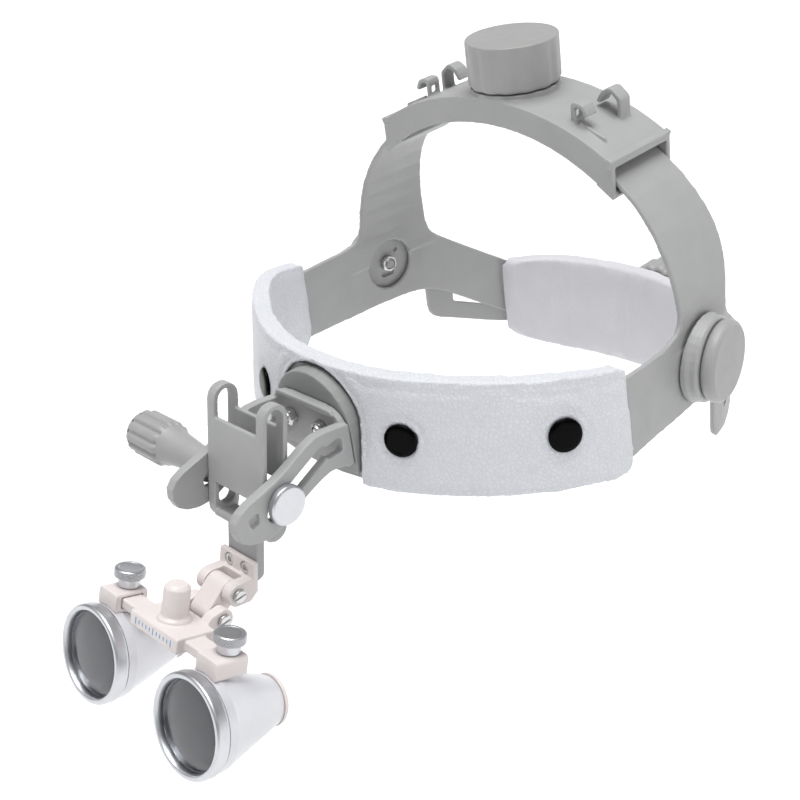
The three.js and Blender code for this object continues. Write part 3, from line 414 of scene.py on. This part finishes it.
LOOKS = {
    "band_plastic": plastic("band_plastic_look", GREY, 0.47),
    "knob_plastic": plastic("knob_plastic_look", KNOB_GREY, 0.44, grain=0.4),
    "inner_plastic": plastic("inner_plastic_look", DARK_GREY, 0.5, grain=0.6),
    "cover_leather": leather("cover_leather_look", COVER_WHITE, cell=0.0015, depth=0.00016, deep=0.6),
    "pad_leather": leather("pad_leather_look", PAD_WHITE, cell=0.0012, depth=0.00006, deep=0.25),
    "snap_black": gloss_black("snap_black_look"),
    "fastener_steel": milled_metal("fastener_steel_look", STEEL, 0.28),
    "cap_silver": turned_metal("cap_silver_look", SILVER, 0.34),
    "frame_cream": plastic("frame_cream_look", CREAM, 0.36, grain=0.25, edge_wear_and_highlight=1.05),
    "barrel_white": pearl("barrel_white_look", PEARL),
    "lens_glass": lens_glass("lens_glass_look"),
}
BORE_BLACK = black_paint("bore_black_look")
KNURL = knurled_metal("knurled_silver_look", SILVER, 0.30, around=36, lean=900)

SLOT_OF = {name: node.material_slots[0].material.name for name, node in NODES.items()}

# ---------------------------------------------------------------- meshes


def new_piece(name, mesh, body, slot=None, replaces=()):
    piece = bpy.data.objects.new(name, mesh)
    bpy.context.scene.collection.objects.link(piece)
    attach(piece, body)
    if slot:
        if not mesh.materials:
            mesh.materials.append(LOOKS[slot])
    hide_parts(*replaces)
    return piece


def spindle(node, axis=None, outwards_from=Vector((0, 0, 0))):
    """Start of a turned CAD node on its axis, the axis, and the node's length and radius."""
    points = np.array([v.co for v in NODES[node].data.vertices], float)
    middle = points.mean(0)
    if axis is None:
        spread = np.linalg.eigh(np.cov((points - middle).T))[1]
        axis = Vector(spread[:, 0])
        if axis.dot(Vector(middle) - outwards_from) < 0:
            axis = -axis
    axis = Vector(axis).normalized()
    across = axis.orthogonal().normalized()
    other = axis.cross(across)
    along = points @ np.array(axis)
    u = points @ np.array(across)
    v = points @ np.array(other)
    start = axis * along.min() + across * (u.max() + u.min()) / 2 + other * (v.max() + v.min()) / 2
    return start, axis, along.max() - along.min(), max(u.max() - u.min(), v.max() - v.min()) / 2


def rounded_profile(profile, steps=5):
    """Profile whose corners with a third number are rounded by that many millimetres."""
    out = []
    for i, point in enumerate(profile):
        if len(point) < 3 or i in (0, len(profile) - 1):
            out.append(Vector(point[:2]))
            continue
        here, before, after = Vector(point[:2]), Vector(profile[i - 1][:2]), Vector(profile[i + 1][:2])
        back = before - here
        on = after - here
        start = here + back.normalized() * min(point[2], back.length * 0.49)
        end = here + on.normalized() * min(point[2], on.length * 0.49)
        for k in range(steps + 1):
            t = k / steps
            out.append(start * (1 - t) ** 2 + here * 2 * t * (1 - t) + end * t * t)
    return out


def divided(points, longest):
    """Profile with every stretch cut into pieces no longer than the given length."""
    out = [points[0]]
    for a, b in zip(points, points[1:]):
        n = max(1, math.ceil((b - a).length / longest))
        out.extend(a.lerp(b, k / n) for k in range(1, n + 1))
    return out


def turned_mesh(name, profile, start, axis, segments=96, wave=None, longest=4.0, look_of=None):
    """Closed mesh of a profile turned about an axis. wave(angle, radius, height) gives the radius, in mm.
    look_of(before, after) picks the material index of a stretch from its two (radius, height) ends."""
    points = divided(rounded_profile(profile), longest)
    closed = (points[0] - points[-1]).length < 1e-6
    if closed:
        points = points[:-1]
    axis = Vector(axis).normalized()
    across = axis.orthogonal().normalized()
    other = axis.cross(across)
    bm = bmesh.new()
    uv = bm.loops.layers.uv.new("profile")
    rings = []
    for p in points:
        if p.x < 1e-6:
            rings.append([bm.verts.new(start + axis * p.y * MM)])
            continue
        ring = []
        for k in range(segments):
            a = 2 * math.pi * k / segments
            r = wave(a, p.x, p.y) if wave else p.x
            out = across * math.cos(a) + other * math.sin(a)
            ring.append(bm.verts.new(start + out * r * MM + axis * p.y * MM))
        rings.append(ring)
    run = 0.0
    pairs = list(zip(range(len(rings)), range(1, len(rings))))
    if closed:
        pairs.append((len(rings) - 1, 0))
    for i, j in pairs:
        step = (points[j] - points[i]).length
        look = look_of(points[i], points[j]) if look_of else 0
        for k in range(segments):
            n = (k + 1) % segments
            low = [rings[i][0]] if len(rings[i]) == 1 else [rings[i][k], rings[i][n]]
            high = [rings[j][0]] if len(rings[j]) == 1 else [rings[j][n], rings[j][k]]
            if len(low) + len(high) < 3:
                continue
            face = bm.faces.new(low + high)
            face.smooth = True
            face.material_index = look
            turns = [k, k + 1] if len(low) == 2 else [k + 0.5]
            turns += [k + 1, k] if len(high) == 2 else [k + 0.5]
            runs = [run] * len(low) + [run + step] * len(high)
            for loop, turn, along in zip(face.loops, turns, runs):
                loop[uv].uv = (turn / segments, along * MM / UV_LENGTH)
        run += step
    bmesh.ops.recalc_face_normals(bm, faces=bm.faces)
    mesh = bpy.data.meshes.new(name)
    bm.to_mesh(mesh)
    bm.free()
    mesh.set_sharp_from_angle(angle=math.radians(38))
    return mesh


def turned_piece(name, node, profile, axis=None, start=None, **more):
    """Turned mesh in place of a CAD node, on that node's own axis unless another is given."""
    found, axis, _, _ = spindle(node, axis)
    mesh = turned_mesh(name, profile, start or found, axis, **more)
    return new_piece(name, mesh, BODY_OF[node], SLOT_OF[node], [node])


def flutes(count, depth, low, high, edge):
    """Shallow rounded flutes on radii past edge, full depth at height low and gone at height high."""
    def wave(angle, radius, height):
        if radius < edge:
            return radius
        fade = min(1.0, max(0.0, (high - height) / (high - low)))
        return radius - depth * fade * (0.5 - 0.5 * math.cos(count * angle)) ** 1.5
    return wave


# ---------------------------------------------------------------- moulded parts kept from the CAD

CRISP_ANGLE = math.radians(35)
ROUNDED_ANGLE = math.radians(33)
WELD_REACH = 0.00004


def smooth_group():
    """Geometry nodes that shade smooth, with edges past the crisp angle kept sharp."""
    group = bpy.data.node_groups.new("shade_by_angle", "GeometryNodeTree")
    group.interface.new_socket("Geometry", in_out="INPUT", socket_type="NodeSocketGeometry")
    group.interface.new_socket("Geometry", in_out="OUTPUT", socket_type="NodeSocketGeometry")
    nodes, links = group.nodes, group.links
    enter = nodes.new("NodeGroupInput")
    leave = nodes.new("NodeGroupOutput")
    faces = nodes.new("GeometryNodeSetShadeSmooth")
    faces.domain = "FACE"
    crisp = nodes.new("GeometryNodeSetShadeSmooth")
    crisp.domain = "EDGE"
    angle = nodes.new("GeometryNodeInputMeshEdgeAngle")
    small = nodes.new("FunctionNodeCompare")
    small.data_type = "FLOAT"
    small.operation = "LESS_THAN"
    small.inputs[1].default_value = CRISP_ANGLE
    links.new(enter.outputs[0], faces.inputs["Geometry"])
    links.new(faces.outputs[0], crisp.inputs["Geometry"])
    links.new(angle.outputs["Unsigned Angle"], small.inputs[0])
    links.new(small.outputs[0], crisp.inputs["Shade Smooth"])
    links.new(crisp.outputs[0], leave.inputs[0])
    return group


SHADE = smooth_group()


def moulded(node, edge):
    """Keeps a CAD node: its edges are rounded by so many millimetres, and it is shaded smooth."""
    piece = NODES[node]
    weld = piece.modifiers.new("weld", "WELD")
    weld.merge_threshold = WELD_REACH
    rounding = piece.modifiers.new("rounded_edges", "BEVEL")
    rounding.limit_method = "ANGLE"
    rounding.angle_limit = ROUNDED_ANGLE
    rounding.width = edge * MM
    rounding.segments = 3
    rounding.use_clamp_overlap = False
    shade = piece.modifiers.new("shade", "NODES")
    shade.node_group = SHADE
    weighted = piece.modifiers.new("weighted", "WEIGHTED_NORMAL")
    weighted.keep_sharp = True
    piece.material_slots[0].material = LOOKS[SLOT_OF[node]]


# width of the rounded edges, in millimetres
MOULDED_EDGES = {
    "front_band": 0.35,
    "bracket_stud_left": 0.05,
    "bracket_stud_right": 0.05,
    "side_nut_left": 0.05,
    "side_nut_right": 0.05,
    "crown_pinion": 0.15,
    "rear_strap_left": 0.3,
    "rear_strap_right": 0.3,
    "rear_pinion": 0.05,
    "cross_bolt": 0.3,
    "clamp_washer": 0.15,
    "slot_guide": 0.12,
    "hinge_screw_left": 0.1,
    "hinge_screw_right": 0.1,
    "pivot_pin_upper": 0.08,
    "pivot_pin_lower": 0.08,
}


def cast(node, voxel, smooth, keep):
    """Stands in for a block-shaped CAD node: the same shape with rounded edges and softened corners."""
    mesh = remeshed(f"{node}_casting", node, voxel, smooth, keep)
    mesh.polygons.foreach_set("use_smooth", [True] * len(mesh.polygons))
    piece = new_piece(f"{node}_casting", mesh, BODY_OF[node], SLOT_OF[node], [node])
    weighted = piece.modifiers.new("weighted", "WEIGHTED_NORMAL")
    weighted.weight = 75


# voxel in millimetres, rounds of smoothing, share of the faces kept
CASTINGS = {
    "side_frame_left": (0.48, 9, 0.3),
    "side_frame_right": (0.48, 9, 0.3),
    "arm_bracket": (0.35, 5, 0.3),
    "carriage": (0.35, 5, 0.3),
    "hinge_block": (0.25, 5, 0.35),
    "hinge_link": (0.25, 5, 0.4),
    "bridge": (0.28, 5, 0.35),
    "pd_block_left": (0.25, 5, 0.35),
    "pd_block_right": (0.25, 5, 0.35),
    "mount_block": (0.4, 4, 0.4),
    "crown_housing": (0.34, 4, 0.35),
    "rear_housing": (0.5, 6, 0.35),
    "bracket_nut_left": (0.16, 3, 0.5),
    "bracket_nut_right": (0.16, 3, 0.5),
    "pivot_boss_left": (0.3, 5, 0.35),
    "pivot_boss_right": (0.3, 5, 0.35),
}


# ---------------------------------------------------------------- turned parts

KNURLED_PAST = 5.45
RIBBED_PAST = 7.9
RIBS = 12
RIB_DEPTH = 1.0


def make_snaps():
    """Low black domes on a post."""
    for place in SNAPS:
        node = f"snap_{place}"
        start, axis, length, radius = spindle(node)
        top, r = length / MM, radius / MM
        under = top - 1.76
        profile = [
            (0, 0), (1.8, 0, 0.3), (1.8, under), (r - 0.3, under, 0.2), (r, under + 0.35, 0.3),
            (r, top - 0.75, 0.5), (r - 0.9, top - 0.25, 0.8), (r - 2.2, top - 0.04, 1.2), (0, top),
        ]
        turned_piece(f"{node}_cap", node, profile, axis, segments=72)


def make_crown_dial():
    """Tall fitting dial with shallow flutes that fade out below its flat top."""
    _, _, length, _ = spindle("crown_knob", (0, 0, 1))
    top, r, under = length / MM, 17.4, 8.1
    profile = [
        (0, 0), (3, 0, 0.3), (3, under), (r - 1.0, under, 0.4), (r, under + 0.8, 0.7), (r, top - 0.45, 0.4),
        (r - 0.4, top, 0.3), (r - 0.9, top, 0.2), (r - 1.1, top - 0.12, 0.2), (0, top - 0.12),
    ]
    wave = flutes(14, 0.6, low=top - 2.0, high=top - 0.3, edge=15)
    turned_piece("crown_dial_body", "crown_knob", profile, (0, 0, 1), segments=288, wave=wave, longest=2.5)


def make_rear_dial():
    """Fluted dial with a rounded lip round its sunk face."""
    _, _, length, _ = spindle("rear_knob", (0, 1, 0))
    top, r = length / MM, 18.0
    under = top - 13.8
    profile = [
        (0, 0), (2.2, 0, 0.2), (2.2, under), (r - 1.2, under, 0.5), (r, under + 1.2, 0.9),
        (r, top - 1.4, 1.0), (r - 1.6, top - 0.1, 1.0), (r - 4.5, top - 0.1, 0.6),
        (r - 5.2, top - 0.7, 0.6), (0, top - 0.7),
    ]
    wave = flutes(18, 1.0, low=under - 1, high=top + 40, edge=15)
    turned_piece("rear_dial_body", "rear_knob", profile, (0, 1, 0), segments=288, wave=wave, longest=2.5)


def make_side_dials():
    """Smooth discs whose rim is rounded and stands a hair above the face."""
    for side in SIDES:
        axis = JOINTS[f"side_dial_{side}_turn"]["axis"]
        node = f"side_knob_{side}"
        _, _, length, _ = spindle(node, axis)
        top, r, under = length / MM, 15.4, 8.7
        profile = [
            (0, 0), (2, 0, 0.2), (2, under), (r - 1.3, under, 0.5), (r, under + 1.3, 1.0),
            (r, top - 1.4, 1.2), (r - 1.5, top, 1.1), (r - 2.3, top - 0.08, 0.5), (0, top - 0.02),
        ]
        turned_piece(f"{node}_disc", node, profile, axis, segments=96)


def make_clamp_knob():
    """Hand knob of the cross bolt: tapered neck, twelve rounded ribs, domed end."""
    _, _, length, _ = spindle("clamp_knob", (-1, 0, 0))
    top = length / MM
    profile = [
        (0, 11.2), (2.9, 11.2), (2.9, 0, 0.2), (4.9, 0, 0.4), (5.4, 8.8, 2), (6.6, 18.8, 2), (7.6, 22.3, 1),
        (8.7, 24.2, 0.6), (8.7, 39.6, 0.8), (7.7, top - 0.4, 0.6), (6.6, top, 0.6), (0, top),
    ]

    def ribs(angle, radius, height):
        if radius < RIBBED_PAST:
            return radius
        return radius - RIB_DEPTH * (0.5 - 0.5 * math.cos(RIBS * angle)) ** 2.2

    turned_piece("clamp_knob_grip", "clamp_knob", profile, (-1, 0, 0), segments=240, wave=ribs, longest=2.5)


def make_bolt_cap():
    """Turned silver disc with a chamfered rim and a blind hole for the bolt."""
    _, _, length, radius = spindle("bolt_cap", (1, 0, 0))
    top, r = length / MM, radius / MM
    profile = [
        (0, 1.9), (2.9, 1.9), (2.9, 0, 0.1), (r - 0.3, 0, 0.2), (r, 0.4, 0.2), (r, top - 0.7, 0.3),
        (r - 0.65, top - 0.05, 0.3), (r - 1.0, top, 0.2), (0, top),
    ]
    turned_piece("bolt_cap_disc", "bolt_cap", profile, (1, 0, 0), segments=96, longest=1.5)


def knurled_rim(before, after):
    """Only the widest, straight stretch of a thumb screw is knurled."""
    return int(min(before.x, after.x) > KNURLED_PAST)


def make_thumb_screws():
    """Screws with a diamond-knurled rim and a turned top."""
    for side in SIDES:
        node = f"thumb_screw_{side}"
        _, _, length, _ = spindle(node, OPTICS_UP)
        top = length / MM
        profile = [
            (0, 0), (1.6, 0, 0.2), (1.6, 1.2), (4, 1.2, 0.2), (4, 4.2, 0.3), (5.1, 4.5, 0.2),
            (5.5, 4.9, 0.1), (5.5, 7.5, 0.1), (5.15, top - 0.1, 0.2), (4.2, top, 0.2),
            (3.9, top - 0.2, 0.2), (0, top - 0.25),
        ]
        piece = turned_piece(f"{node}_head", node, profile, OPTICS_UP, segments=108, look_of=knurled_rim)
        piece.data.materials.append(KNURL)


def inside(before, after):
    """The bore's profile runs back towards the front edge, the outside's away from it."""
    return int(after.y < before.y - 0.001)


def make_optics():
    """Barrels, rings and lenses, turned about each optical axis and measured back from the front face."""
    seat = Vector(MOUNTS["filter_seat_left"]["pos_m"])
    for side in SIDES:
        low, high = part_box(f"objective_ring_{side}")
        start = Vector(((low.x + high.x) / 2, seat.y, seat.z))
        shared = {"axis": -FORWARD, "start": start}
        outer = [(17.2, 5.3, 0.3), (17.2, 8.7, 0.3), (17.0, 9.0, 0.8), (9.9, 31.0, 7.0), (8.7, 34.5)]
        bore = [(7.1, 34.5), (7.1, 31.6, 0.5), (7.7, 30.3, 2), (15.4, 9.0, 2), (15.4, 5.3)]
        wall = outer + bore + outer[:1]
        barrel = turned_mesh(f"barrel_{side}_tube", wall, start, -FORWARD, segments=112, look_of=inside)
        barrel.materials.append(LOOKS["barrel_white"])
        barrel.materials.append(BORE_BLACK)
        body = BODY_OF[f"barrel_{side}"]
        new_piece(f"barrel_{side}_tube", barrel, body, "barrel_white", [f"barrel_{side}"])
        ring = [
            (15.6, 0.7, 0.2), (16.0, 0.05, 0.3), (17.25, 0, 0.3), (17.85, 0.6, 0.4), (17.85, 4.3, 0.3),
            (17.35, 5.0, 0.2), (15.0, 5.0), (15.0, 4.2), (15.6, 4.2), (15.6, 0.7, 0.2),
        ]
        node = f"objective_ring_{side}"
        turned_piece(f"{node}_rim", node, ring, segments=112, longest=1.5, **shared)
        front = [(15.3 * t, 1.1 + 1.3 * t * t) for t in (0, 0.15, 0.3, 0.45, 0.6, 0.75, 0.88)]
        back = [(15.3, 2.4, 0.1), (15.3, 3.9, 0.1), (12, 3.2), (8, 2.9), (0, 2.7)]
        lens = front + back
        turned_piece(f"objective_{side}_glass", f"objective_lens_{side}", lens, segments=96, **shared)
        eye = [
            (6.2, 34.8, 0.1), (9.2, 34.8, 0.2), (9.2, 35.9, 0.5), (8.4, 36.6, 0.4), (6.8, 36.6, 0.3),
            (6.2, 36.0, 0.2), (6.2, 34.8, 0.1),
        ]
        turned_piece(f"eyepiece_ring_{side}_rim", f"eyepiece_ring_{side}", eye, segments=80, **shared)
        ocular = [(0, 32.7), (3.5, 32.5), (6.8, 31.9, 0.1), (6.8, 34.4, 0.1), (3.5, 34.0), (0, 33.9)]
        turned_piece(f"eyepiece_{side}_glass", f"eyepiece_lens_{side}", ocular, segments=72, **shared)


# ---------------------------------------------------------------- leather

# The skins are held where they are closer than this to the band, the arm's block, or the straps.
ON_THE_BAND = 0.0013
ROUND_THE_BLOCK = 0.0022
ON_THE_STRAPS = 0.0016
# The cover is also held this far out round each snap, and this far along the snap's axis.
SNAP_DIMPLE = 0.0009
SNAP_DEPTH = 0.012
# A free edge is at least this sharp, and this far from whatever the leather lies on.
OUTLINE_ANGLE = math.radians(55)
OUTLINE_CLEAR = 0.0016


def tree_of(*nodes):
    """Search tree over the faces of some CAD nodes."""
    points, faces = [], []
    for n in nodes:
        base = len(points)
        points += [v.co.copy() for v in NODES[n].data.vertices]
        faces += [[base + i for i in p.vertices] for p in NODES[n].data.polygons]
    return BVHTree.FromPolygons(points, faces)


def remeshed(name, node, voxel, smooth, keep=1.0):
    """Even quads over a CAD solid, its corners softened, and thinned on its flats where keep is under 1."""
    mesh = NODES[node].data.copy()
    mesh.name = name
    bm = bmesh.new()
    bm.from_mesh(mesh)
    bmesh.ops.remove_doubles(bm, verts=bm.verts, dist=SAME_POINT)
    bm.to_mesh(mesh)
    bm.free()
    if mesh.attributes.get("custom_normal"):
        mesh.attributes.remove(mesh.attributes["custom_normal"])
    draft = bpy.data.objects.new("draft", mesh)
    bpy.context.scene.collection.objects.link(draft)
    even = draft.modifiers.new("even", "REMESH")
    even.mode = "VOXEL"
    even.voxel_size = voxel
    soft = draft.modifiers.new("soft", "SMOOTH")
    soft.iterations = smooth
    soft.factor = 0.5
    if keep < 1:
        thin = draft.modifiers.new("thin", "DECIMATE")
        thin.ratio = keep
    graph = bpy.context.evaluated_depsgraph_get()
    made = bpy.data.meshes.new_from_object(draft.evaluated_get(graph))
    made.name = name
    bpy.data.objects.remove(draft)
    bpy.data.meshes.remove(mesh)
    made.materials.clear()
    return made


def coordinates(mesh):
    """Vertex positions as rows of an array."""
    flat = np.zeros(len(mesh.vertices) * 3, np.float32)
    mesh.vertices.foreach_get("co", flat)
    return flat.reshape(-1, 3).astype(float)


def write_coordinates(mesh, points):
    mesh.vertices.foreach_set("co", np.asarray(points, np.float32).ravel())
    mesh.update()


def puffed(mesh, held, pressure, cap, frames):
    """Blows a closed mesh up with Cloth while its held points stay put. No point moves further than cap."""
    scene = bpy.context.scene
    rest = coordinates(mesh)
    bag = bpy.data.objects.new("bag", mesh)
    scene.collection.objects.link(bag)
    group = bag.vertex_groups.new(name="held")
    for index, weight in enumerate(held):
        if weight > 0:
            group.add([index], float(weight), "REPLACE")
    cloth = bag.modifiers.new("cloth", "CLOTH")
    settings = cloth.settings
    settings.use_pressure = True
    settings.uniform_pressure_force = pressure
    settings.vertex_group_mass = "held"
    settings.effector_weights.gravity = 0
    settings.tension_stiffness = settings.compression_stiffness = 20
    settings.bending_stiffness = 2
    cloth.point_cache.frame_start = 1
    cloth.point_cache.frame_end = frames
    for step in range(1, frames + 1):
        scene.frame_set(step)
    graph = bpy.context.evaluated_depsgraph_get()
    moved = coordinates(bag.evaluated_get(graph).data) - rest
    bpy.data.objects.remove(bag)
    scene.frame_set(1)
    reach = np.linalg.norm(moved, axis=1, keepdims=True)
    moved *= np.minimum(1, cap / np.maximum(reach, 1e-9))
    write_coordinates(mesh, rest + moved)
    return mesh


def creased(mesh, amount, scale):
    """Slow, uneven swelling of the skin, as hand-laid leather has."""
    points = coordinates(mesh)
    for i, vertex in enumerate(mesh.vertices):
        points[i] += np.array(vertex.normal) * amount * noise.noise(vertex.co * scale)
    write_coordinates(mesh, points)


def outline_points(node, tree, step=0.0015):
    """Points along a CAD solid's own sharp outline, away from the faces in the tree."""
    bm = bmesh.new()
    bm.from_mesh(NODES[node].data)
    bmesh.ops.remove_doubles(bm, verts=bm.verts, dist=SAME_POINT)
    found = []
    for edge in bm.edges:
        if len(edge.link_faces) != 2 or edge.calc_face_angle() < OUTLINE_ANGLE:
            continue
        a, b = edge.verts[0].co, edge.verts[1].co
        count = max(1, math.ceil((b - a).length / step))
        for k in range(count):
            point = a.lerp(b, (k + 0.5) / count)
            if tree.find_nearest(point)[3] > OUTLINE_CLEAR:
                found.append(point)
    bm.free()
    return found


def seam(mesh, outline, inset, width, depth, keep):
    """Presses a sewn channel into the skin at a set distance from the outline, but not where keep says."""
    search = KDTree(len(outline))
    for i, point in enumerate(outline):
        search.insert(point, i)
    search.balance()
    points = coordinates(mesh)
    for i, vertex in enumerate(mesh.vertices):
        if keep[i]:
            continue
        distance = search.find(vertex.co)[2]
        dip = depth * math.exp(-(((distance - inset) / width) ** 2))
        points[i] -= np.array(vertex.normal) * dip
    write_coordinates(mesh, points)


def subdivided(mesh, name):
    """The skin settled by a little smoothing, then subdivided once and shaded smooth."""
    draft = bpy.data.objects.new("draft", mesh)
    bpy.context.scene.collection.objects.link(draft)
    settled = draft.modifiers.new("settled", "SMOOTH")
    settled.iterations = 3
    settled.factor = 0.4
    fine = draft.modifiers.new("fine", "SUBSURF")
    fine.levels = 1
    graph = bpy.context.evaluated_depsgraph_get()
    made = bpy.data.meshes.new_from_object(draft.evaluated_get(graph))
    bpy.data.objects.remove(draft)
    made.name = name
    made.polygons.foreach_set("use_smooth", [True] * len(made.polygons))
    return made


def make_brow_cover():
    """Padded leather sleeve over the brow band, crowned between its edges and dimpled at the snaps."""
    mesh = remeshed("brow_cover_leather", "brow_cover", voxel=0.0010, smooth=5)
    band = tree_of("front_band")
    block = tree_of("mount_block")
    snaps = [spindle(f"snap_{place}") for place in SNAPS]
    held = []
    for vertex in mesh.vertices:
        weight = 1.0 if band.find_nearest(vertex.co)[3] < ON_THE_BAND else 0.0
        if block.find_nearest(vertex.co)[3] < ROUND_THE_BLOCK:
            weight = 1.0
        for start, axis, _, radius in snaps:
            away = vertex.co - start
            along = away.dot(axis)
            if (away - axis * along).length < radius + SNAP_DIMPLE and abs(along) < SNAP_DEPTH:
                weight = 1.0
        held.append(weight)
    mesh = puffed(mesh, held, pressure=10.0, cap=0.0022, frames=16)
    creased(mesh, amount=0.00012, scale=45)
    outline = outline_points("brow_cover", band)
    seam(mesh, outline, inset=0.0022, width=0.0007, depth=0.00055, keep=[w > 0 for w in held])
    mesh = subdivided(mesh, "brow_cover_leather")
    cover = new_piece("brow_cover_leather", mesh, "headband", "cover_leather", ["brow_cover"])


def make_rear_pad():
    """Padded rest behind the head: flat against the straps, crowned towards the head."""
    mesh = remeshed("rear_pad_leather", "rear_pad", voxel=0.0016, smooth=3)
    back = tree_of("rear_housing", "rear_strap_left", "rear_strap_right")
    held = [1.0 if back.find_nearest(v.co)[3] < ON_THE_STRAPS else 0.0 for v in mesh.vertices]
    mesh = puffed(mesh, held, pressure=4.0, cap=0.0030, frames=20)
    creased(mesh, amount=0.00045, scale=42)
    outline = outline_points("rear_pad", back)
    seam(mesh, outline, inset=0.0030, width=0.0009, depth=0.00035, keep=[w > 0 for w in held])
    mesh = subdivided(mesh, "rear_pad_leather")
    pad = new_piece("rear_pad_leather", mesh, "headband", "pad_leather", ["rear_pad"])


# ---------------------------------------------------------------- printed marks


MARKS_BELOW_POST = 0.0160
MARKS_BEFORE_POST = 0.0084
MARK_SPACING = 0.0020
MARK_HALF_WIDTH = 0.00022
MARK_HALF_DEPTH = 0.00006
MARK_SHORT, MARK_TALL = 0.0014, 0.0024
BOX_FACES = ((0, 3, 2, 1), (4, 5, 6, 7), (0, 1, 5, 4), (1, 2, 6, 5), (2, 3, 7, 6), (3, 0, 4, 7))


def make_scale_marks():
    """Plain index ticks on the bridge's front face, in place of lettering."""
    post = Vector(MOUNTS["light_post"]["pos_m"])
    centre = post - OPTICS_UP * MARKS_BELOW_POST + FORWARD * MARKS_BEFORE_POST
    across = Vector((1, 0, 0))
    bm = bmesh.new()
    for k in range(-5, 6):
        half = (MARK_TALL if k % 5 == 0 else MARK_SHORT) / 2
        middle = centre + across * k * MARK_SPACING
        verts = []
        for f in (-MARK_HALF_DEPTH, MARK_HALF_DEPTH):
            for x, z in ((-1, -1), (1, -1), (1, 1), (-1, 1)):
                spot = middle + across * x * MARK_HALF_WIDTH + OPTICS_UP * z * half + FORWARD * f
                verts.append(bm.verts.new(spot))
        for face in BOX_FACES:
            bm.faces.new([verts[i] for i in face])
    bmesh.ops.recalc_face_normals(bm, faces=bm.faces)
    mesh = bpy.data.meshes.new("bridge_index_marks")
    bm.to_mesh(mesh)
    bm.free()
    mesh.materials.append(scale_ink("index_ink_look"))
    new_piece("bridge_index_marks", mesh, "bridge")


# ---------------------------------------------------------------- assembly

make_camera()
make_studio()
for part, edge_width in MOULDED_EDGES.items():
    moulded(part, edge_width)
for part, (size, rounds, share) in CASTINGS.items():
    cast(part, size * MM, rounds, share)
make_snaps()
make_crown_dial()
make_rear_dial()
make_side_dials()
make_clamp_knob()
make_bolt_cap()
make_thumb_screws()
make_optics()
make_brow_cover()
make_rear_pad()
make_scale_marks()
